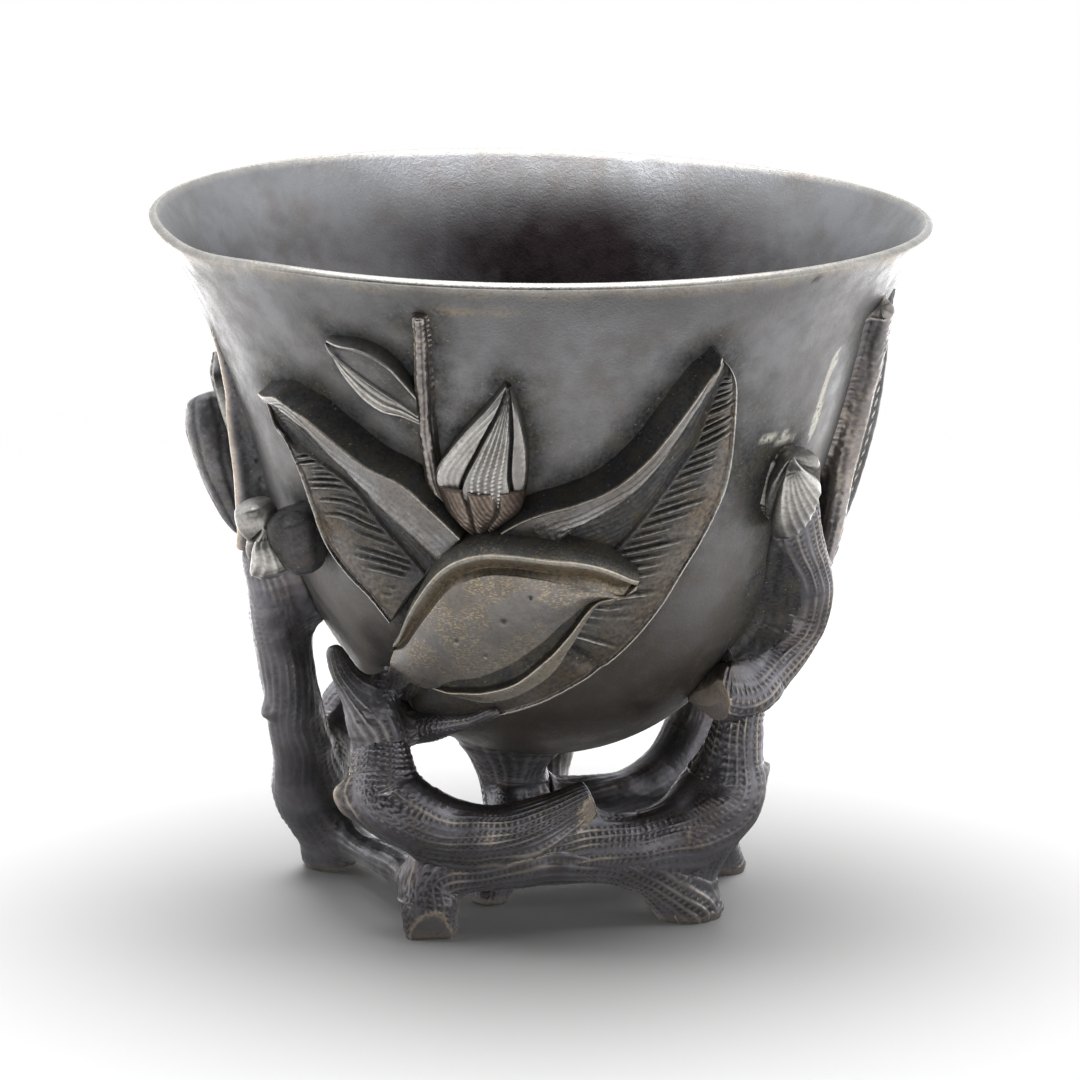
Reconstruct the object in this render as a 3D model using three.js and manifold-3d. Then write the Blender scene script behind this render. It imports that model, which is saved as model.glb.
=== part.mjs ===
// A small bronze cup: a thin flared bowl held in a stand of gnarled branches, with leaves, buds
// and twigs soldered round it. Millimetres, +Z up, the front towards -Y and +X to its right.
import * as THREE from "three";
import { mergeVertices } from "three/addons/utils/BufferGeometryUtils.js";
import Module from "manifold-3d";

const wasm = await Module();
wasm.setup();

// Bowl
const RIM_WIDTH = 100;
const RIM_DEPTH = 95;
const BOWL_HEIGHT = 70;
const WALL = 2;
const LIP = 1.3;
const RIM_WAVE = 0.8;
const RIM_DENT = 0.8;

// Stand
const STAND_HEIGHT = 20;
const FRONT_BRANCH = 9.6;
const RIGHT_BRANCH = 9.6;
const FRONT_ROOT = 7;
const FRONT_FOOT = 7.4;
const FRONT_STUB = 7.8;
const UPPER_BRANCH = 9.4;
const LEFT_BRANCH = 8;
const LEFT_ROOT = 5;
const TRUNK = 8;
const BACK_BRANCH = 7;
const REAR_ROOT = 6;

// Height of the applied pieces above the bowl
const LEAF_RELIEF = 4.6;
const FOLD_RELIEF = 7.4;
const BUD_RELIEF = 4.4;
const CALYX_RELIEF = 3;
const LEAFLET_RELIEF = 3.2;

// Twigs and round buds
const TWIG = 1.8;
const SIDE_TWIG = 3;
const LEFT_BUD = 8.4;
const PETALS = 10;
const REAR_BUD = 19;
const RIGHT_BUD = 12.4;

// Solder gap between two castings, and the stock below the feet that is cut off level
const SEAM = 0.3;
const SOLE_STOCK = 3;

// The bowl's radius at a share h of its height is
// BELLY sqrt(h) - TAPER h + FLARE h^FLARE_POWER, as a share of the radius at the rim.
const BELLY_SHARE = 1.41;
const TAPER_SHARE = 0.58;
const FLARE_SHARE = 1 - BELLY_SHARE + TAPER_SHARE;
const FLARE_POWER = 5.5;

// Facets
const ROUND = 44;
const WALL_RINGS = 16;
const RING_POWER = 1.4;

const radians = THREE.MathUtils.degToRad;

function radiusShare(h) {
  return BELLY_SHARE * Math.sqrt(h) - TAPER_SHARE * h + FLARE_SHARE * h ** FLARE_POWER;
}

function radiusSlope(h) {
  const flare = FLARE_SHARE * FLARE_POWER * h ** (FLARE_POWER - 1);
  return BELLY_SHARE / (2 * Math.sqrt(h)) - TAPER_SHARE + flare;
}

// Levels run from 0 at the ground through 1 at the underside of the bowl to 2 at its rim.
function heightOf(level) {
  return level < 1 ? STAND_HEIGHT * level : STAND_HEIGHT + BOWL_HEIGHT * (level - 1);
}

// The rim is bent a little: low on the right, high at the back left, with a dent at the front left.
function rimWave(angle) {
  const bend = -Math.sin(radians(angle)) + Math.sin(radians(2 * angle)) / 3;
  const fromDent = (angle + 60) / 13;
  return RIM_WAVE * bend - RIM_DENT * Math.exp(-fromDent * fromDent);
}

// The bowl's outward normal. Angles are in degrees: 0 at the front, 90 at the right.
function outward(angle, level) {
  return new THREE.Vector3(
    RIM_DEPTH * BOWL_HEIGHT * Math.sin(radians(angle)),
    -RIM_WIDTH * BOWL_HEIGHT * Math.cos(radians(angle)),
    (-RIM_WIDTH * RIM_DEPTH * radiusSlope(level - 1)) / 2,
  ).normalize();
}

// A point on the bowl's outside, or off it by a lift along its normal.
function over(angle, level, lift = 0) {
  const h = level - 1;
  const r = radiusShare(h);
  const turn = angle > 180 ? angle - 360 : angle;
  const point = new THREE.Vector3(
    (RIM_WIDTH * r * Math.sin(radians(angle))) / 2,
    (-RIM_DEPTH * r * Math.cos(radians(angle))) / 2,
    heightOf(level) + rimWave(turn) * h ** FLARE_POWER,
  );
  return point.addScaledVector(outward(angle, level), lift);
}

// A place in the stand: shares of half the rim's width and depth, and a level.
function spot([xShare, yShare, level]) {
  return new THREE.Vector3((RIM_WIDTH * xShare) / 2, (RIM_DEPTH * yShare) / 2, heightOf(level));
}

// A smooth curve through a list of points.
function smooth(points) {
  return new THREE.CatmullRomCurve3(points, false, "catmullrom", 0.5);
}

// A value read between the entries of a list, at a share from 0 to 1 of its length.
function between(list, share) {
  const at = share * (list.length - 1);
  const i = Math.min(Math.floor(at), list.length - 2);
  return THREE.MathUtils.lerp(list[i], list[i + 1], at - i);
}

// A closed skin over rings with equal numbers of points, with a fan over each end.
function skin(rings) {
  const count = rings[0].length;
  const middle = (ring) => ring.reduce((sum, p) => sum.add(p), new THREE.Vector3()).divideScalar(count);
  const points = [...rings.flat(), middle(rings[0]), middle(rings.at(-1))];
  const [start, end] = [points.length - 2, points.length - 1];
  const faces = [];
  for (let i = 0; i < count; i++) {
    const j = (i + 1) % count;
    for (let k = 0; k + 1 < rings.length; k++) {
      const [a, b] = [k * count + i, k * count + j];
      faces.push(a, b, b + count, a, b + count, a + count);
    }
    const last = (rings.length - 1) * count;
    faces.push(start, j, i, end, last + i, last + j);
  }
  const geometry = new THREE.BufferGeometry().setFromPoints(points);
  return geometry.setIndex(signedVolume(points, faces) < 0 ? faces.reverse() : faces);
}

function signedVolume(points, faces) {
  let sum = 0;
  for (let i = 0; i < faces.length; i += 3) {
    const [a, b, c] = [points[faces[i]], points[faces[i + 1]], points[faces[i + 2]]];
    sum += a.dot(b.clone().cross(c));
  }
  return sum;
}

function solidOf(geometry) {
  const vertProperties = new Float32Array(geometry.attributes.position.array);
  const triVerts = new Uint32Array(geometry.index.array);
  return new wasm.Manifold(new wasm.Mesh({ numProp: 3, vertProperties, triVerts }));
}

// The same skin with every point moved out along its normal.
function grown(geometry, distance) {
  const copy = geometry.clone();
  copy.computeVertexNormals();
  const { position, normal } = copy.attributes;
  for (let i = 0; i < position.count; i++) {
    const p = new THREE.Vector3().fromBufferAttribute(position, i);
    const n = new THREE.Vector3().fromBufferAttribute(normal, i);
    position.setXYZ(i, ...p.addScaledVector(n, distance));
  }
  return copy;
}

// A branch: round sections along a route, as wide as the shares say of its thickness.
function branch(points, thickness, widthShares, steps = 12, sides = 9) {
  const curve = smooth(points);
  const rings = [];
  const side = new THREE.Vector3(0, 1, 0);
  for (let k = 0; k <= steps; k++) {
    const t = k / steps;
    const along = curve.getTangent(t);
    side.addScaledVector(along, -side.dot(along)).normalize();
    const other = along.clone().cross(side);
    const radius = (thickness * between(widthShares, t)) / 2;
    const centre = curve.getPoint(t);
    rings.push(
      Array.from({ length: sides }, (_, i) => {
        const turn = (2 * Math.PI * i) / sides;
        return centre
          .clone()
          .addScaledVector(side, radius * Math.cos(turn))
          .addScaledVector(other, radius * Math.sin(turn));
      }),
    );
  }
  return skin(rings);
}

// A branch in the space round the bowl. Each row gives a place and the width share there.
function standBranch(rows, thickness, steps, sides) {
  return branch(rows.map(spot), thickness, rows.map((row) => row[3]), steps, sides);
}

// A twig that lies on the bowl. Each row gives an angle, a level and the width share there.
function wallTwig(rows, thickness, steps, sides) {
  const route = rows.map(([angle, level]) => over(angle, level, thickness / 2));
  return branch(route, thickness, rows.map((row) => row[2]), steps, sides);
}

// A leaf or a flat bud on the bowl. Each row runs from the tip to the base and gives angle and
// level of one edge, then of the other. The height at a place is the relief times a share read
// across the leaf and a share read along it.
function leaf(rows, relief, acrossShares, alongShares, steps = 12) {
  const edges = [0, 2].map((i) => smooth(rows.map((row) => new THREE.Vector3(row[i], row[i + 1], 0))));
  const rings = [];
  for (let k = 0; k <= steps; k++) {
    const t = k / steps;
    const [first, second] = edges.map((edge) => edge.getPoint(t));
    const height = relief * between(alongShares, t);
    const ring = (lift) =>
      acrossShares.map((share, i) => {
        const place = first.clone().lerp(second, i / (acrossShares.length - 1));
        return over(place.x, place.y, lift(share));
      });
    const top = ring((share) => SEAM + height * share);
    const underside = ring(() => SEAM).reverse();
    rings.push([...top, ...underside]);
  }
  return skin(rings);
}

// A rounded bud: an egg of the given width, length and thickness that leans along the bowl.
function egg(centre, out, up, width, length, thickness) {
  const ball = new THREE.SphereGeometry(0.5, 12, 8);
  ball.deleteAttribute("normal");
  ball.deleteAttribute("uv");
  const x = up.clone().cross(out).normalize();
  const y = out.clone().cross(x);
  const axes = new THREE.Matrix4().makeBasis(
    x.multiplyScalar(width),
    y.multiplyScalar(length),
    out.clone().multiplyScalar(thickness),
  );
  return mergeVertices(ball.applyMatrix4(axes.setPosition(centre)));
}

// An egg seated on the bowl, tilted sideways by some degrees. The shares give its centre's lift,
// its width and its thickness in lengths of the egg.
function seatedEgg(angle, level, tilt, length, [liftShare, widthShare, thicknessShare]) {
  const out = outward(angle, level);
  const up = new THREE.Vector3(0, 0, 1).applyAxisAngle(out, radians(tilt));
  const centre = over(angle, level, length * liftShare);
  return egg(centre, out, up, length * widthShare, length, length * thicknessShare);
}

// Bowl, from its outer pole up over the lip and down to its inner pole

function bowlRing(level, lift) {
  return Array.from({ length: ROUND }, (_, i) => over((360 * i) / ROUND, level, lift));
}

// Rings lie closer together near the poles, where the bowl turns fastest.
const poleShare = 0.2 / WALL_RINGS;
const wallShares = Array.from(
  { length: WALL_RINGS + 1 },
  (_, i) => Math.max(i / WALL_RINGS, poleShare) ** RING_POWER,
);
const outside = wallShares.map((h) => bowlRing(1 + h, 0));
const inside = wallShares.map((h) => bowlRing(1 + h, -THREE.MathUtils.lerp(WALL, LIP, h)));
const bowlForm = skin([...outside, ...inside.reverse()]);

// What is cut out of every piece that sinks into the bowl: the bowl's outer form, filled.
const bowlCore = solidOf(skin(wallShares.map((h) => bowlRing(1 + h, SEAM))));
const groundForm = skin(
  [0, -STAND_HEIGHT].map((z) =>
    [45, 135, 225, 315].map((angle) => {
      const reach = RIM_WIDTH + RIM_DEPTH;
      return new THREE.Vector3(reach * Math.sin(radians(angle)), -reach * Math.cos(radians(angle)), z);
    }),
  ),
);
const ground = solidOf(groundForm);

// Finishes
const darkBronze = { color: 0x4d4a48, roughness: 0.42, metalness: 0.9 };
const branchBronze = { color: 0x46413c, roughness: 0.55, metalness: 0.85 };
const leafBronze = { color: 0x5b5145, roughness: 0.4, metalness: 0.9 };
const budBronze = { color: 0x5d5850, roughness: 0.45, metalness: 0.9 };

// Each casting is fitted against those placed before it: it is cut back to a seam's width from
// them. A branch or a round bud is also cut back from the bowl and from the ground, and a leaf
// is made a seam's width off the bowl in the first place.
const placed = [];

function addSunk(group, name, form, finish) {
  add(group, name, form, finish, solidOf(form).subtract(bowlCore).subtract(ground));
}

function add(group, name, form, finish, solid = solidOf(form)) {
  const box = new THREE.Box3().setFromBufferAttribute(form.attributes.position).expandByScalar(SEAM);
  for (const other of placed) {
    if (other.box.intersectsBox(box)) solid = solid.subtract(other.grown);
  }
  const pieces = solid.decompose().sort((a, b) => b.volume() - a.volume());
  placed.push({ box, grown: solidOf(grown(form, SEAM)) });
  addMesh(group, name, pieces[0], finish);
}

function addMesh(group, name, solid, finish) {
  const { vertProperties, triVerts } = solid.getMesh();
  const geometry = new THREE.BufferGeometry()
    .setAttribute("position", new THREE.BufferAttribute(vertProperties, 3))
    .setIndex(new THREE.BufferAttribute(triVerts, 1));
  geometry.computeVertexNormals();
  const mesh = new THREE.Mesh(geometry, new THREE.MeshStandardMaterial(finish));
  mesh.name = name;
  group.add(mesh);
}

const cup = new THREE.Group();
const stand = new THREE.Group();
const front = new THREE.Group();
const left = new THREE.Group();
const right = new THREE.Group();
const back = new THREE.Group();
cup.add(stand, front, left, right, back);
addMesh(cup, "bowl", solidOf(bowlForm), darkBronze);

// How far the feet's routes run on below the ground before they are cut level.
const belowGround = -SOLE_STOCK / STAND_HEIGHT;

// Leaves of the front. The two large ones have a polished lip along the upper edge, a fold line
// and a hollow beyond it, and a thin raised lower edge.
const leafAcrossShares = [0.9, 1, 0.62, 0.5, 0.4, 0.42, 0.55];
const leafAlongShares = [0.35, 0.75, 0.9, 1, 1, 1, 1];

function largeLeaf(rows, steps) {
  return leaf(rows, LEAF_RELIEF, leafAcrossShares, leafAlongShares, steps);
}

const leftLeafShares = [
  [-53.5, 1.772, -54.5, 1.762],
  [-50, 1.777, -53, 1.727],
  [-45.5, 1.767, -50.7, 1.68],
  [-41, 1.745, -49.3, 1.615],
  [-36, 1.7, -48, 1.55],
  [-30.5, 1.66, -46, 1.49],
  [-25, 1.625, -42.5, 1.435],
  [-19.5, 1.585, -38, 1.39],
  [-14.5, 1.537, -34.5, 1.345],
];
const rightLeafShares = [
  [28, 1.895, 28.6, 1.885],
  [27, 1.87, 31, 1.84],
  [25.5, 1.835, 33.3, 1.785],
  [23.5, 1.79, 34.3, 1.72],
  [21, 1.735, 35, 1.65],
  [17.5, 1.693, 34.5, 1.59],
  [12.5, 1.64, 31.5, 1.525],
  [6.5, 1.607, 28, 1.46],
  [0, 1.585, 23.5, 1.385],
  [-6, 1.558, 18, 1.297],
  [-12, 1.51, 9, 1.252],
  [-20, 1.44, -3, 1.21],
  [-30, 1.33, -16, 1.17],
  [-38, 1.24, -33, 1.145],
];

// The folded leaf rolls over from its upper edge into a smooth dome, with a groove and a lip below.
const foldAcrossShares = [0.6, 0.88, 0.84, 1, 1, 0.94, 0.62, 0.5];
const foldAlongShares = [0.6, 0.8, 0.92, 1, 1, 0.95, 0.8, 0.6];
const foldedLeafShares = [
  [18.2, 1.462, 17.8, 1.448],
  [14.5, 1.49, 14.5, 1.424],
  [10.5, 1.507, 11, 1.415],
  [6, 1.52, 8.5, 1.39],
  [1, 1.527, 6, 1.335],
  [-5, 1.53, 2.5, 1.28],
  [-11, 1.53, -4, 1.238],
  [-17, 1.513, -12, 1.225],
  [-22, 1.47, -20, 1.235],
  [-27, 1.41, -27, 1.265],
  [-31, 1.345, -34, 1.295],
];

// Stand

// The branch that comes down at the front left and curls round to a cut tip.
const frontBranchShares = [
  [-0.406, -0.379, 1.086, 0.84],
  [-0.4, -0.421, 1.024, 1],
  [-0.346, -0.442, 0.855, 0.86],
  [-0.232, -0.432, 0.71, 0.66],
  [-0.092, -0.4, 0.695, 0.6],
  [0.022, -0.368, 0.785, 0.44],
  [0.108, -0.347, 0.905, 0.22],
];
addSunk(stand, "front_branch", standBranch(frontBranchShares, FRONT_BRANCH), branchBronze);

const rightBranchShares = [
  [0.462, -0.253, 1.134, 0.66],
  [0.492, -0.232, 1.046, 0.84],
  [0.472, -0.232, 0.86, 1],
  [0.382, -0.253, 0.64, 0.86],
  [0.254, -0.284, 0.575, 0.7],
  [0.126, -0.316, 0.595, 0.56],
  [-0.002, -0.358, 0.545, 0.36],
];
addSunk(stand, "right_branch", standBranch(rightBranchShares, RIGHT_BRANCH), branchBronze);

const frontFootShares = [
  [0.43, -0.242, 0.78, 1],
  [0.405, -0.221, 0.485, 0.9],
  [0.375, -0.202, 0.235, 0.92],
  [0.386, -0.198, belowGround, 0.95],
];
addSunk(stand, "front_right_foot", standBranch(frontFootShares, FRONT_FOOT, 8), branchBronze);

// The root along the bottom, with the front left foot at its end.
const frontRootShares = [
  [-0.284, -0.392, belowGround, 1],
  [-0.284, -0.392, 0.205, 1],
  [-0.258, -0.379, 0.385, 0.86],
  [-0.054, -0.337, 0.41, 0.74],
  [0.152, -0.295, 0.4, 0.74],
  [0.3, -0.25, 0.36, 0.84],
  [0.36, -0.23, 0.32, 0.9],
];
addSunk(stand, "front_root", standBranch(frontRootShares, FRONT_ROOT, 16), branchBronze);

const leftBranchShares = [
  [-0.562, 0.295, belowGround, 0.86],
  [-0.56, 0.253, 0.26, 1],
  [-0.62, 0.189, 0.575, 1],
  [-0.628, 0.105, 0.975, 0.95],
  [-0.652, 0.042, 1.1, 0.92],
  [-0.67, 0, 1.204, 0.92],
  [-0.684, -0.063, 1.31, 0.9],
  [-0.722, -0.11, 1.4, 0.65],
];
addSunk(stand, "left_branch", standBranch(leftBranchShares, LEFT_BRANCH, 14), branchBronze);

const leftRootShares = [
  [-0.55, 0.25, 0.3, 1],
  [-0.518, 0.232, 0.275, 1],
  [-0.448, 0.042, 0.27, 0.92],
  [-0.364, -0.168, 0.315, 1],
  [-0.298, -0.337, 0.33, 1],
];
addSunk(stand, "left_root", standBranch(leftRootShares, LEFT_ROOT, 8), branchBronze);

// The trunk under the middle of the bowl, with the inner foot.
const trunkShares = [
  [-0.07, 0, 1.03, 1.5],
  [-0.068, 0, 0.77, 1],
  [-0.08, -0.042, 0.46, 0.8],
  [-0.15, -0.084, belowGround, 0.55],
];
addSunk(stand, "trunk", standBranch(trunkShares, TRUNK, 9), branchBronze);

const backRightShares = [
  [0.41, 0.24, 1.16, 0.9],
  [0.42, 0.253, 1.063, 0.9],
  [0.394, 0.253, 0.945, 1],
  [0.328, 0.211, 0.7, 1],
  [0.208, 0.126, 0.585, 0.9],
  [0, 0.042, 0.6, 0.8],
];
addSunk(stand, "back_right_branch", standBranch(backRightShares, BACK_BRANCH, 11), branchBronze);

const rightRootShares = [
  [0.5, 0.26, belowGround, 0.95],
  [0.465, 0.19, 0.2, 0.9],
  [0.43, 0.08, 0.42, 0.9],
  [0.45, -0.09, 0.68, 0.9],
  [0.465, -0.2, 0.8, 0.9],
];
addSunk(stand, "right_root", standBranch(rightRootShares, REAR_ROOT, 10), branchBronze);

const backLeftShares = [
  [-0.6, 0.2, 0.6, 0.9],
  [-0.55, 0.274, 0.95, 0.95],
  [-0.46, 0.305, 1.07, 0.9],
  [-0.34, 0.29, 1.13, 0.95],
];
addSunk(stand, "back_left_branch", standBranch(backLeftShares, BACK_BRANCH, 9), branchBronze);

const rearRootShares = [
  [-0.02, 0.02, 0.3, 0.9],
  [-0.03, 0.22, 0.42, 0.9],
  [-0.04, 0.42, 0.3, 1],
  [-0.04, 0.49, belowGround, 1],
];
addSunk(stand, "rear_root", standBranch(rearRootShares, REAR_ROOT, 10), branchBronze);

const rearBranchShares = [
  [-0.04, 0.4, 0.3, 0.9],
  [0.02, 0.47, 0.7, 0.95],
  [0.06, 0.49, 1.06, 0.85],
  [0.04, 0.53, 1.2, 0.7],
  [0, 0.62, 1.33, 0.45],
];
addSunk(stand, "rear_branch", standBranch(rearBranchShares, BACK_BRANCH, 11), branchBronze);

// Front
const smallLeafAlongShares = [0.4, 0.9, 1, 1, 0.9];

add(front, "front_left_leaf", largeLeaf(leftLeafShares, 14), leafBronze);
add(front, "front_right_leaf", largeLeaf(rightLeafShares, 20), leafBronze);
const foldedLeaf = leaf(foldedLeafShares, FOLD_RELIEF, foldAcrossShares, foldAlongShares, 16);
add(front, "front_folded_leaf", foldedLeaf, leafBronze);

const stubShares = [
  [-0.406, -0.379, 1.07, 1],
  [-0.416, -0.379, 1.149, 0.95],
  [-0.444, -0.368, 1.193, 0.95],
  [-0.475, -0.355, 1.24, 0.8],
];
addSunk(front, "front_stub", standBranch(stubShares, FRONT_STUB, 8), branchBronze);

const frontTwigShares = [
  [-18, 1.945, 0.8],
  [-18.5, 1.9, 0.85],
  [-19.5, 1.817, 0.9],
  [-20, 1.74, 1],
  [-20, 1.677, 1],
  [-19.5, 1.61, 1],
  [-15, 1.565, 1],
];
addSunk(front, "front_twig", wallTwig(frontTwigShares, TWIG, 12, 7), branchBronze);

// The bud swells in the middle and its sides fall off; the calyx holds its base.
const budAcrossShares = [0.35, 0.8, 1, 1, 0.8, 0.35];
const budAlongShares = [0.5, 0.85, 1, 1, 1];
const flowerBudShares = [
  [-5.6, 1.815, -5, 1.81],
  [-8.5, 1.777, -3.9, 1.775],
  [-12, 1.738, -3, 1.735],
  [-15.5, 1.695, -2.5, 1.695],
  [-18.2, 1.66, -2.5, 1.66],
  [-18, 1.632, -3, 1.632],
];
add(front, "front_bud", leaf(flowerBudShares, BUD_RELIEF, budAcrossShares, budAlongShares, 9), budBronze);
const calyxShares = [
  [-18.3, 1.622, -3, 1.622],
  [-16.5, 1.585, -4, 1.585],
  [-14.6, 1.56, -7, 1.562],
  [-13, 1.543, -9, 1.543],
];
const calyxAlongShares = [1, 1, 0.9];
const calyx = leaf(calyxShares, CALYX_RELIEF, budAcrossShares, calyxAlongShares, 5);
add(front, "front_bud_calyx", calyx, budBronze);

const leafletShares = [
  [-35.2, 1.877, -35.2, 1.871],
  [-32.5, 1.878, -34.3, 1.848],
  [-29.5, 1.878, -32.7, 1.812],
  [-26.5, 1.868, -30, 1.775],
  [-24, 1.848, -27, 1.754],
  [-22.2, 1.82, -23.5, 1.748],
  [-20.5, 1.79, -20.5, 1.735],
];
const leaflet = leaf(leafletShares, LEAFLET_RELIEF, budAcrossShares, smallLeafAlongShares, 9);
add(front, "front_leaflet", leaflet, leafBronze);

// Left
const leftTwigShares = [
  [-0.735, -0.12, 1.4, 1.5],
  [-0.745, -0.147, 1.53, 1.3],
  [-0.765, -0.168, 1.646, 1.15],
  [-0.782, -0.168, 1.739, 0.95],
  [-0.812, -0.168, 1.825, 0.7],
];
addSunk(left, "left_twig", standBranch(leftTwigShares, SIDE_TWIG, 9, 7), branchBronze);
const globeShares = [0.25, 0.75, 1];
const leftBud = seatedEgg(-53.5, 1.487, 0, LEFT_BUD, globeShares);
addSunk(left, "left_bud", leftBud, budBronze);
const petalShares = [0.5, 0.5, 0.5];
const petals = seatedEgg(-61, 1.488, 8, PETALS, petalShares);
addSunk(left, "left_bud_petals", petals, budBronze);
const longBudShares = [0.25, 0.5, 0.5];
const leftRearBud = seatedEgg(-99, 1.54, 5, REAR_BUD, longBudShares);
addSunk(left, "left_rear_bud", leftRearBud, budBronze);
const leftRearLeafShares = [
  [-93, 1.745, -95, 1.74],
  [-90, 1.71, -99, 1.705],
  [-89, 1.66, -102, 1.655],
  [-89, 1.6, -103, 1.595],
];
const leftRearAlongShares = [0.5, 1, 1];
const leftRearLeaf = leaf(leftRearLeafShares, LEAFLET_RELIEF, budAcrossShares, leftRearAlongShares, 7);
add(left, "left_rear_leaf", leftRearLeaf, leafBronze);

// Right
const rightUpperShares = [
  [0.47, -0.274, 1.151, 0.7],
  [0.55, -0.211, 1.145, 0.78],
  [0.604, -0.168, 1.195, 0.9],
  [0.636, -0.168, 1.267, 0.98],
  [0.666, -0.189, 1.334, 0.86],
  [0.67, -0.274, 1.404, 0.62],
  [0.645, -0.385, 1.455, 0.42],
];
const rightUpper = standBranch(rightUpperShares, UPPER_BRANCH, 14);
addSunk(right, "right_upper_branch", rightUpper, branchBronze);
const sideBudShares = [0.17, 0.56, 0.56];
const rightBud = seatedEgg(53.5, 1.565, -6, RIGHT_BUD, sideBudShares);
addSunk(right, "right_bud", rightBud, budBronze);
const rightTwigShares = [
  [0.856, -0.337, 1.885, 0.95],
  [0.82, -0.274, 1.753, 0.9],
  [0.8, -0.232, 1.636, 0.85],
  [0.78, -0.211, 1.521, 0.8],
  [0.758, -0.189, 1.406, 0.8],
  [0.73, -0.185, 1.305, 0.9],
];
addSunk(right, "right_twig", standBranch(rightTwigShares, SIDE_TWIG, 10, 7), branchBronze);
// This leaf hangs straight, so it stands further off the bowl towards its base.
const hangingAlongShares = [0.2, 0.5, 0.85, 1.1, 1.2, 1.2, 1];
const rightRearLeafShares = [
  [90, 1.875, 92, 1.87],
  [87, 1.815, 97, 1.81],
  [85, 1.74, 101, 1.73],
  [84, 1.65, 103, 1.64],
  [85, 1.55, 103, 1.54],
  [87, 1.46, 102, 1.45],
  [90, 1.37, 98, 1.365],
];
const rightRearLeaf = leaf(rightRearLeafShares, LEAF_RELIEF, budAcrossShares, hangingAlongShares, 12);
add(right, "right_rear_leaf", rightRearLeaf, leafBronze);

// Back
const backLeftLeafShares = [
  [-140, 1.825, -139.5, 1.815],
  [-144, 1.825, -139, 1.76],
  [-149, 1.81, -140.5, 1.69],
  [-154, 1.785, -143.5, 1.62],
  [-159, 1.75, -148, 1.555],
  [-164.5, 1.705, -154, 1.495],
  [-170, 1.65, -161, 1.445],
  [-175, 1.585, -168.5, 1.41],
  [-179, 1.52, -176, 1.4],
];
add(back, "back_left_leaf", largeLeaf(backLeftLeafShares, 14), leafBronze);
const backRightLeafShares = [
  [143, 1.7, 143.5, 1.69],
  [147, 1.71, 144.5, 1.645],
  [152, 1.705, 148.5, 1.595],
  [157.5, 1.685, 153.5, 1.55],
  [163, 1.65, 159.5, 1.5],
  [168.5, 1.6, 166, 1.455],
  [173.5, 1.54, 172.5, 1.42],
  [177.5, 1.49, 177, 1.4],
];
add(back, "back_right_leaf", largeLeaf(backRightLeafShares, 12), leafBronze);
const backTwigShares = [
  [168, 1.89, 0.8],
  [171, 1.75, 0.9],
  [175, 1.6, 1],
  [179, 1.5, 1.1],
  [180, 1.37, 1.2],
];
addSunk(back, "back_twig", wallTwig(backTwigShares, TWIG, 9, 7), branchBronze);
const backBudShares = [
  [157.5, 1.8, 158.2, 1.795],
  [161.5, 1.8, 157.8, 1.755],
  [165, 1.785, 159, 1.71],
  [167.5, 1.755, 161.5, 1.675],
  [169, 1.72, 165, 1.655],
  [171, 1.69, 169.5, 1.66],
];
add(back, "back_bud", leaf(backBudShares, BUD_RELIEF, budAcrossShares, budAlongShares, 8), budBronze);
const backRightTwigShares = [
  [114, 1.13, 1.3],
  [117, 1.25, 1.1],
  [121, 1.4, 1],
  [126, 1.55, 0.9],
  [128, 1.64, 0.8],
];
addSunk(back, "back_right_twig", wallTwig(backRightTwigShares, SIDE_TWIG, 9, 7), branchBronze);
const backRightBud = seatedEgg(129, 1.7, -8, RIGHT_BUD, sideBudShares);
addSunk(back, "back_right_bud", backRightBud, budBronze);

export default cup;
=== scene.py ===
"""A small bronze cup: a thin flared bowl in a stand of gnarled branches, dressed with leaves,
buds and twigs. Shapes are worked out in millimetres and written to the meshes in metres."""

import math

import bpy
import numpy as np
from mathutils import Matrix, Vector


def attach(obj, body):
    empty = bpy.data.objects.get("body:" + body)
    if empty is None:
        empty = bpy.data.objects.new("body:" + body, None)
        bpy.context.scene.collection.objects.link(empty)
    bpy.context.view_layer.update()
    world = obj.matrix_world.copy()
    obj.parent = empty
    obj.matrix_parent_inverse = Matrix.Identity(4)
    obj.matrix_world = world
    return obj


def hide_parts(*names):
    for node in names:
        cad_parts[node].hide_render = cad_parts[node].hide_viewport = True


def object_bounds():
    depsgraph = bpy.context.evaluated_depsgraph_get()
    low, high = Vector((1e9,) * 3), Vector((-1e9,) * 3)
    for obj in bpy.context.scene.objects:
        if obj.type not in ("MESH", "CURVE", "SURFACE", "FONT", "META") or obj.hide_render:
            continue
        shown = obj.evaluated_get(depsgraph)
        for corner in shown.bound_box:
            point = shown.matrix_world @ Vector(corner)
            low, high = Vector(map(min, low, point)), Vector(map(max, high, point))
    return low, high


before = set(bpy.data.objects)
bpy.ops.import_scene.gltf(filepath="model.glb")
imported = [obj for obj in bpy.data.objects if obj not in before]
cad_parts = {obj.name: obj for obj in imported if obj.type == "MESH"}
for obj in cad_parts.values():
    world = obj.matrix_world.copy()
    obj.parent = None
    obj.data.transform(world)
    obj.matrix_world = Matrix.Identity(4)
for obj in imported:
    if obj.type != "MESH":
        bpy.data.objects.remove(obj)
cad_low, cad_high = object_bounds()
MM = 0.001

BOX_LOW = np.array(cad_low) / MM
BOX_HIGH = np.array(cad_high) / MM

# Bowl and stand. The rim's width and depth come from the frame.
RIM_WIDTH = (cad_high.x - cad_low.x) / MM
RIM_DEPTH = (cad_high.y - cad_low.y) / MM
STAND_HEIGHT = 20
BOWL_HEIGHT = 70
WALL = 2
LIP = 1.3
LIP_CROWN = 0.35
RIM_WAVE = 0.8
RIM_DENT = 0.8
DENT_AT = -60
DENT_WIDTH = 13
HAMMERED = 0.1

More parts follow.
